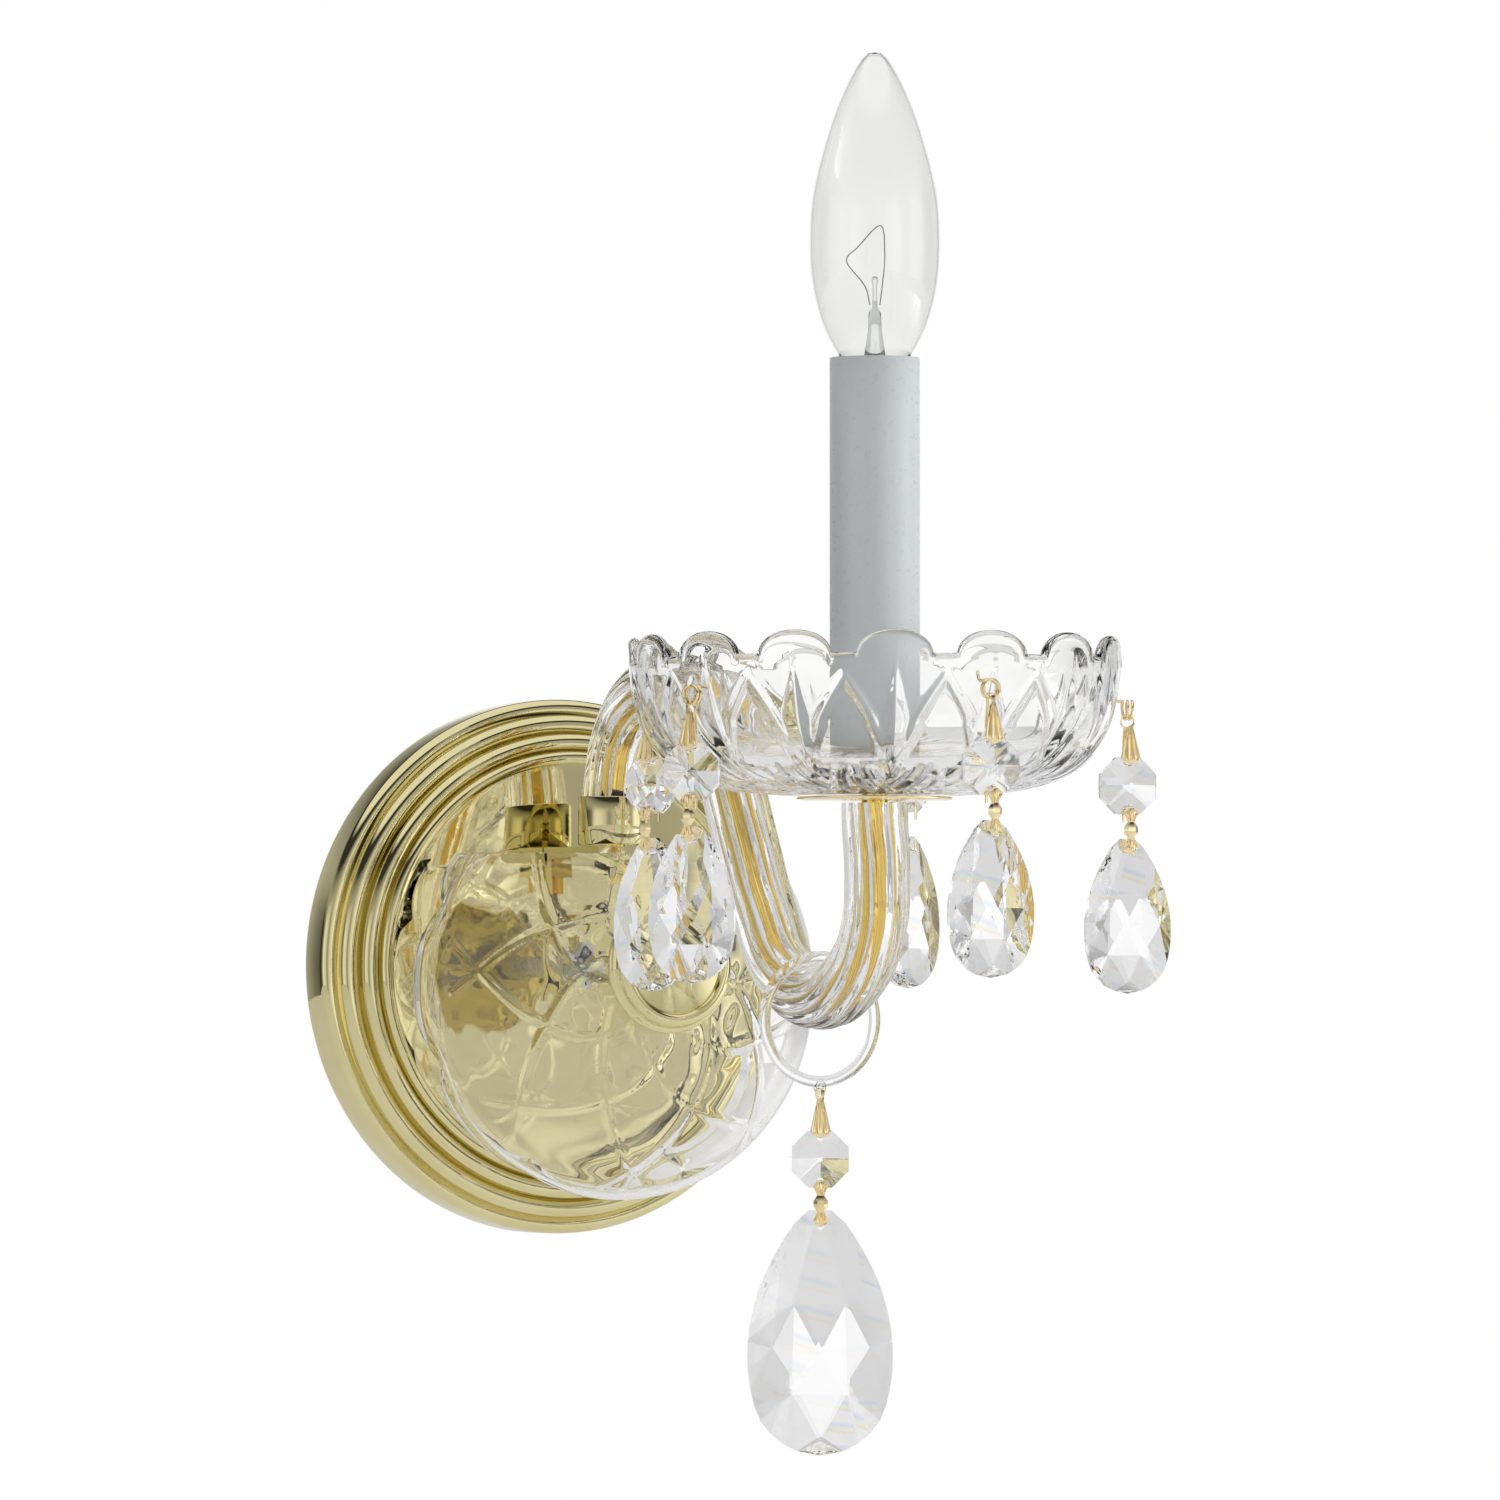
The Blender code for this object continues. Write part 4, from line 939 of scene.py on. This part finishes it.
def make_chains():
    ring_shape, octagon_shape, bow_shape = coil(), octagon(), bow_tie()
    small, large = drop(SMALL_DROP), drop(LARGE_DROP)

    def links(name, across, depth, top, angle, drop_shape):
        verts, faces = octagon_shape
        spot = moved(verts, across, depth, top, angle)
        piece(f"{name}_octagon_look", spot, faces, "crystal", f"{name}_bead", flat=True)
        lower = top - 2 * OCTAGON_HOLE
        verts, faces = bow_shape
        spot = moved(verts, across, depth, lower, angle)
        piece(f"{name}_bow_tie_look", spot, faces, "gilt_wire", f"{name}_pendant", sharp=30)
        verts, faces = drop_shape
        spot = moved(verts, across, depth, lower, angle)
        piece(f"{name}_drop_look", spot, faces, "crystal", f"{name}_pendant", flat=True)

    for name, (angle, radius, height, face) in CHAINS.items():
        across = radius * math.sin(math.radians(angle))
        depth = -CANDLE - radius * math.cos(math.radians(angle))
        verts, faces = ring_shape
        spot = moved(verts, across, depth, height, angle)
        piece(f"{name}_jump_ring_look", spot, faces, "gilt_wire", f"{name}_ring")
        verts, faces = bail(face - angle)
        top = height - 2 * COIL_R
        spot = moved(verts, across, depth, top, angle)
        piece(f"{name}_bail_look", spot, faces, "gilt_wire", f"{name}_hook")
        links(name, across, depth, top - BAIL_LENGTH, face, small)
    turn = np.linspace(0, 2 * np.pi, 128, endpoint=False)
    hoop = np.stack([RING_R * np.cos(turn), 0 * turn, RING_R * np.sin(turn)], axis=-1)
    ring = swept(hoop, RING_WIRE, 32, closed=True)
    eye = -RING_R - RING_WIRE
    turn = np.linspace(0, 2 * np.pi, 48, endpoint=False)
    small_hoop = np.stack([EYELET_R * np.cos(turn), 0 * turn, eye + EYELET_R * np.sin(turn)], axis=-1)
    loop = swept(small_hoop, EYELET_WIRE, 16, closed=True)
    verts, faces = joined(ring, loop)
    spot = moved(verts, 0, -ARM_LOW_AT, RING_Z)
    piece("glass_ring_look", spot, faces, "drawn_glass", "arm_ring", sharp=60)
    top = RING_Z + eye - EYELET_R
    verts, faces = bail(LARGE_FACING)
    piece("large_bail_look", moved(verts, 0, -ARM_LOW_AT, top), faces, "gilt_wire", "large_hook")
    links("large", 0.0, -ARM_LOW_AT, top - BAIL_LENGTH, LARGE_FACING, large)


# ------------------------------------------------------------------ stage, light and camera


def make_stage():
    steps = 96
    turn = np.linspace(0, 2 * np.pi, steps, endpoint=False)
    verts = [(FLOOR_R * math.cos(a), FLOOR_R * math.sin(a), FLOOR_Z) for a in turn]
    mesh = bpy.data.meshes.new("floor")
    mesh.from_pydata(verts, [], [tuple(range(steps))])
    floor = bpy.data.objects.new("floor", mesh)
    SCENE.collection.objects.link(floor)
    made = new_material("floor", (0.86, 0.86, 0.86), 0.0, 0.8, Emission_Strength=0.1)
    nodes = Nodes(made)
    pale = nodes.ramp(nodes.noise(3.0), ((0.3, (0.85, 0.85, 0.85)), (0.7, (0.88, 0.88, 0.88))))
    nodes.to_shader(pale, "Base Color")
    nodes.to_shader(pale, "Emission Color")
    mesh.materials.append(made)


def make_world():
    """White seen directly, and soft boxes with darker gaps between them for everything else.

    Rays that have passed through glass see a mix of the two.
    """
    world = bpy.data.worlds.new("studio")
    SCENE.world = world
    world.use_nodes = True
    tree = world.node_tree
    tree.nodes.clear()

    def add(kind, **settings):
        node = tree.nodes.new(kind)
        for key, value in settings.items():
            setattr(node, key, value)
        return node

    def math_node(operation, a, b):
        node = add("ShaderNodeMath", operation=operation)
        for k, value in enumerate((a, b)):
            if isinstance(value, bpy.types.NodeSocket):
                tree.links.new(value, node.inputs[k])
            else:
                node.inputs[k].default_value = value
        return node.outputs[0]

    def ramp(value, stops):
        node = add("ShaderNodeValToRGB")
        tree.links.new(value, node.inputs["Fac"])
        for k, (at, grey) in enumerate(stops):
            element = node.color_ramp.elements[k] if k < 2 else node.color_ramp.elements.new(at)
            element.position = at
            element.color = (grey, grey, grey, 1.0)
        return node.outputs["Color"]

    where = add("ShaderNodeTexCoord").outputs["Generated"]
    turned = add("ShaderNodeVectorRotate", rotation_type="Z_AXIS")
    tree.links.new(where, turned.inputs["Vector"])
    turned.inputs["Angle"].default_value = math.radians(VIEW_TURN)
    split = add("ShaderNodeSeparateXYZ")
    tree.links.new(turned.outputs["Vector"], split.inputs["Vector"])
    x, y, z = (split.outputs[k] for k in "XYZ")
    round_way = math_node("ARCTAN2", x, y)
    round_share = math_node("ADD", math_node("DIVIDE", round_way, 2 * math.pi), 0.5)
    # Positions run from behind the camera, left, behind the object, right, to behind the camera again
    left = ((0.0, 0.6), (0.042, 0.35), (0.083, 0.75), (0.144, 1.0), (0.18, 0.9), (0.215, 0.25), (0.272, 0.05))
    left += ((0.328, 0.05), (0.356, 0.32), (0.38, 0.55), (0.40, 0.4), (0.43, 0.45), (0.45, 1.0))
    right = ((0.55, 1.0), (0.57, 0.45), (0.60, 0.4), (0.62, 0.6), (0.644, 0.5), (0.672, 0.04), (0.715, 0.04))
    right += ((0.75, 1.25), (0.80, 1.3), (0.83, 0.5), (0.862, 0.45), (0.885, 1.25), (0.93, 1.0), (1.0, 0.6))
    level = ramp(round_share, left + right)
    tilt = math_node("ADD", math_node("MULTIPLY", z, 0.5), 0.5)
    # Positions run from straight below to straight above, where these bands take over from the side ones
    up = ramp(tilt, ((0.0, 1.0), (0.36, 1.0), (0.44, 0.0), (0.60, 0.0), (0.68, 1.0), (1.0, 1.0)))
    bands = ((0.0, 0.85), (0.11, 0.8), (0.15, 0.05), (0.22, 0.05), (0.26, 0.8), (0.36, 1.0), (0.45, 1.0))
    bands += ((0.66, 0.5), (0.72, 0.3), (0.76, 0.04), (0.83, 0.04), (0.87, 1.0), (1.0, 0.95))
    cap = ramp(tilt, bands)
    mix = add("ShaderNodeMixRGB")
    tree.links.new(up, mix.inputs["Fac"])
    tree.links.new(level, mix.inputs["Color1"])
    tree.links.new(cap, mix.inputs["Color2"])
    studio = add("ShaderNodeBackground")
    tree.links.new(mix.outputs["Color"], studio.inputs["Color"])
    plain = add("ShaderNodeBackground")
    plain.inputs["Color"].default_value = (1.0, 1.0, 1.0, 1.0)
    pick = add("ShaderNodeMixShader")
    path = add("ShaderNodeLightPath")
    through = math_node("MULTIPLY", path.outputs["Is Transmission Ray"], REFRACTED_WHITE)
    tree.links.new(math_node("MAXIMUM", path.outputs["Is Camera Ray"], through), pick.inputs["Fac"])
    tree.links.new(studio.outputs[0], pick.inputs[1])
    tree.links.new(plain.outputs[0], pick.inputs[2])
    out = add("ShaderNodeOutputWorld")
    tree.links.new(pick.outputs[0], out.inputs["Surface"])


def soft_box(name, where, target, size, power):
    data = bpy.data.lights.new(name, "AREA")
    data.shape = "RECTANGLE"
    data.size, data.size_y = size
    data.energy = power
    light = bpy.data.objects.new(name, data)
    SCENE.collection.objects.link(light)
    light.location = where
    aim = Vector(target) - Vector(where)
    light.rotation_euler = aim.to_track_quat("-Z", "Y").to_euler()
    light.visible_glossy = False
    light.visible_transmission = False


def make_camera():
    view, lift = math.radians(VIEW_TURN), math.radians(VIEW_LIFT)
    along = Vector((math.sin(view) * math.cos(lift), math.cos(view) * math.cos(lift), math.sin(lift)))
    right = Vector((math.cos(view), -math.sin(view), 0.0))
    up = right.cross(along)
    data = bpy.data.cameras.new("camera")
    data.sensor_width = 36.0
    data.lens = LENS
    data.clip_start, data.clip_end = 0.05, 100.0
    camera = bpy.data.objects.new("camera", data)
    SCENE.collection.objects.link(camera)
    turn = Matrix((right, up, -along)).transposed().to_4x4()
    camera.matrix_world = Matrix.Translation(CAMERA_PLACE) @ turn
    SCENE.camera = camera


make_backplate()
make_knob()
make_ferrule()
make_bowl()
make_arm()
make_dish()
make_dish_plate()
make_candle()
make_lamp()
make_chains()
make_stage()
make_world()
soft_box("key", (-1.2, -1.6, 1.4), (0.0, -0.1, 0.0), (0.9, 0.9), 3.5)
soft_box("fill", (1.6, -0.9, 0.3), (0.0, -0.1, 0.0), (0.6, 1.4), 20.0)
make_camera()

SCENE.view_settings.view_transform = "Standard"
SCENE.view_settings.look = "None"
cycles = SCENE.cycles
cycles.use_denoising = True
cycles.max_bounces = 24
cycles.transmission_bounces = 20
cycles.glossy_bounces = 8
cycles.transparent_max_bounces = 12
cycles.caustics_reflective = True
cycles.caustics_refractive = True
cycles.sample_clamp_indirect = 6.0
cycles.blur_glossy = 0.3
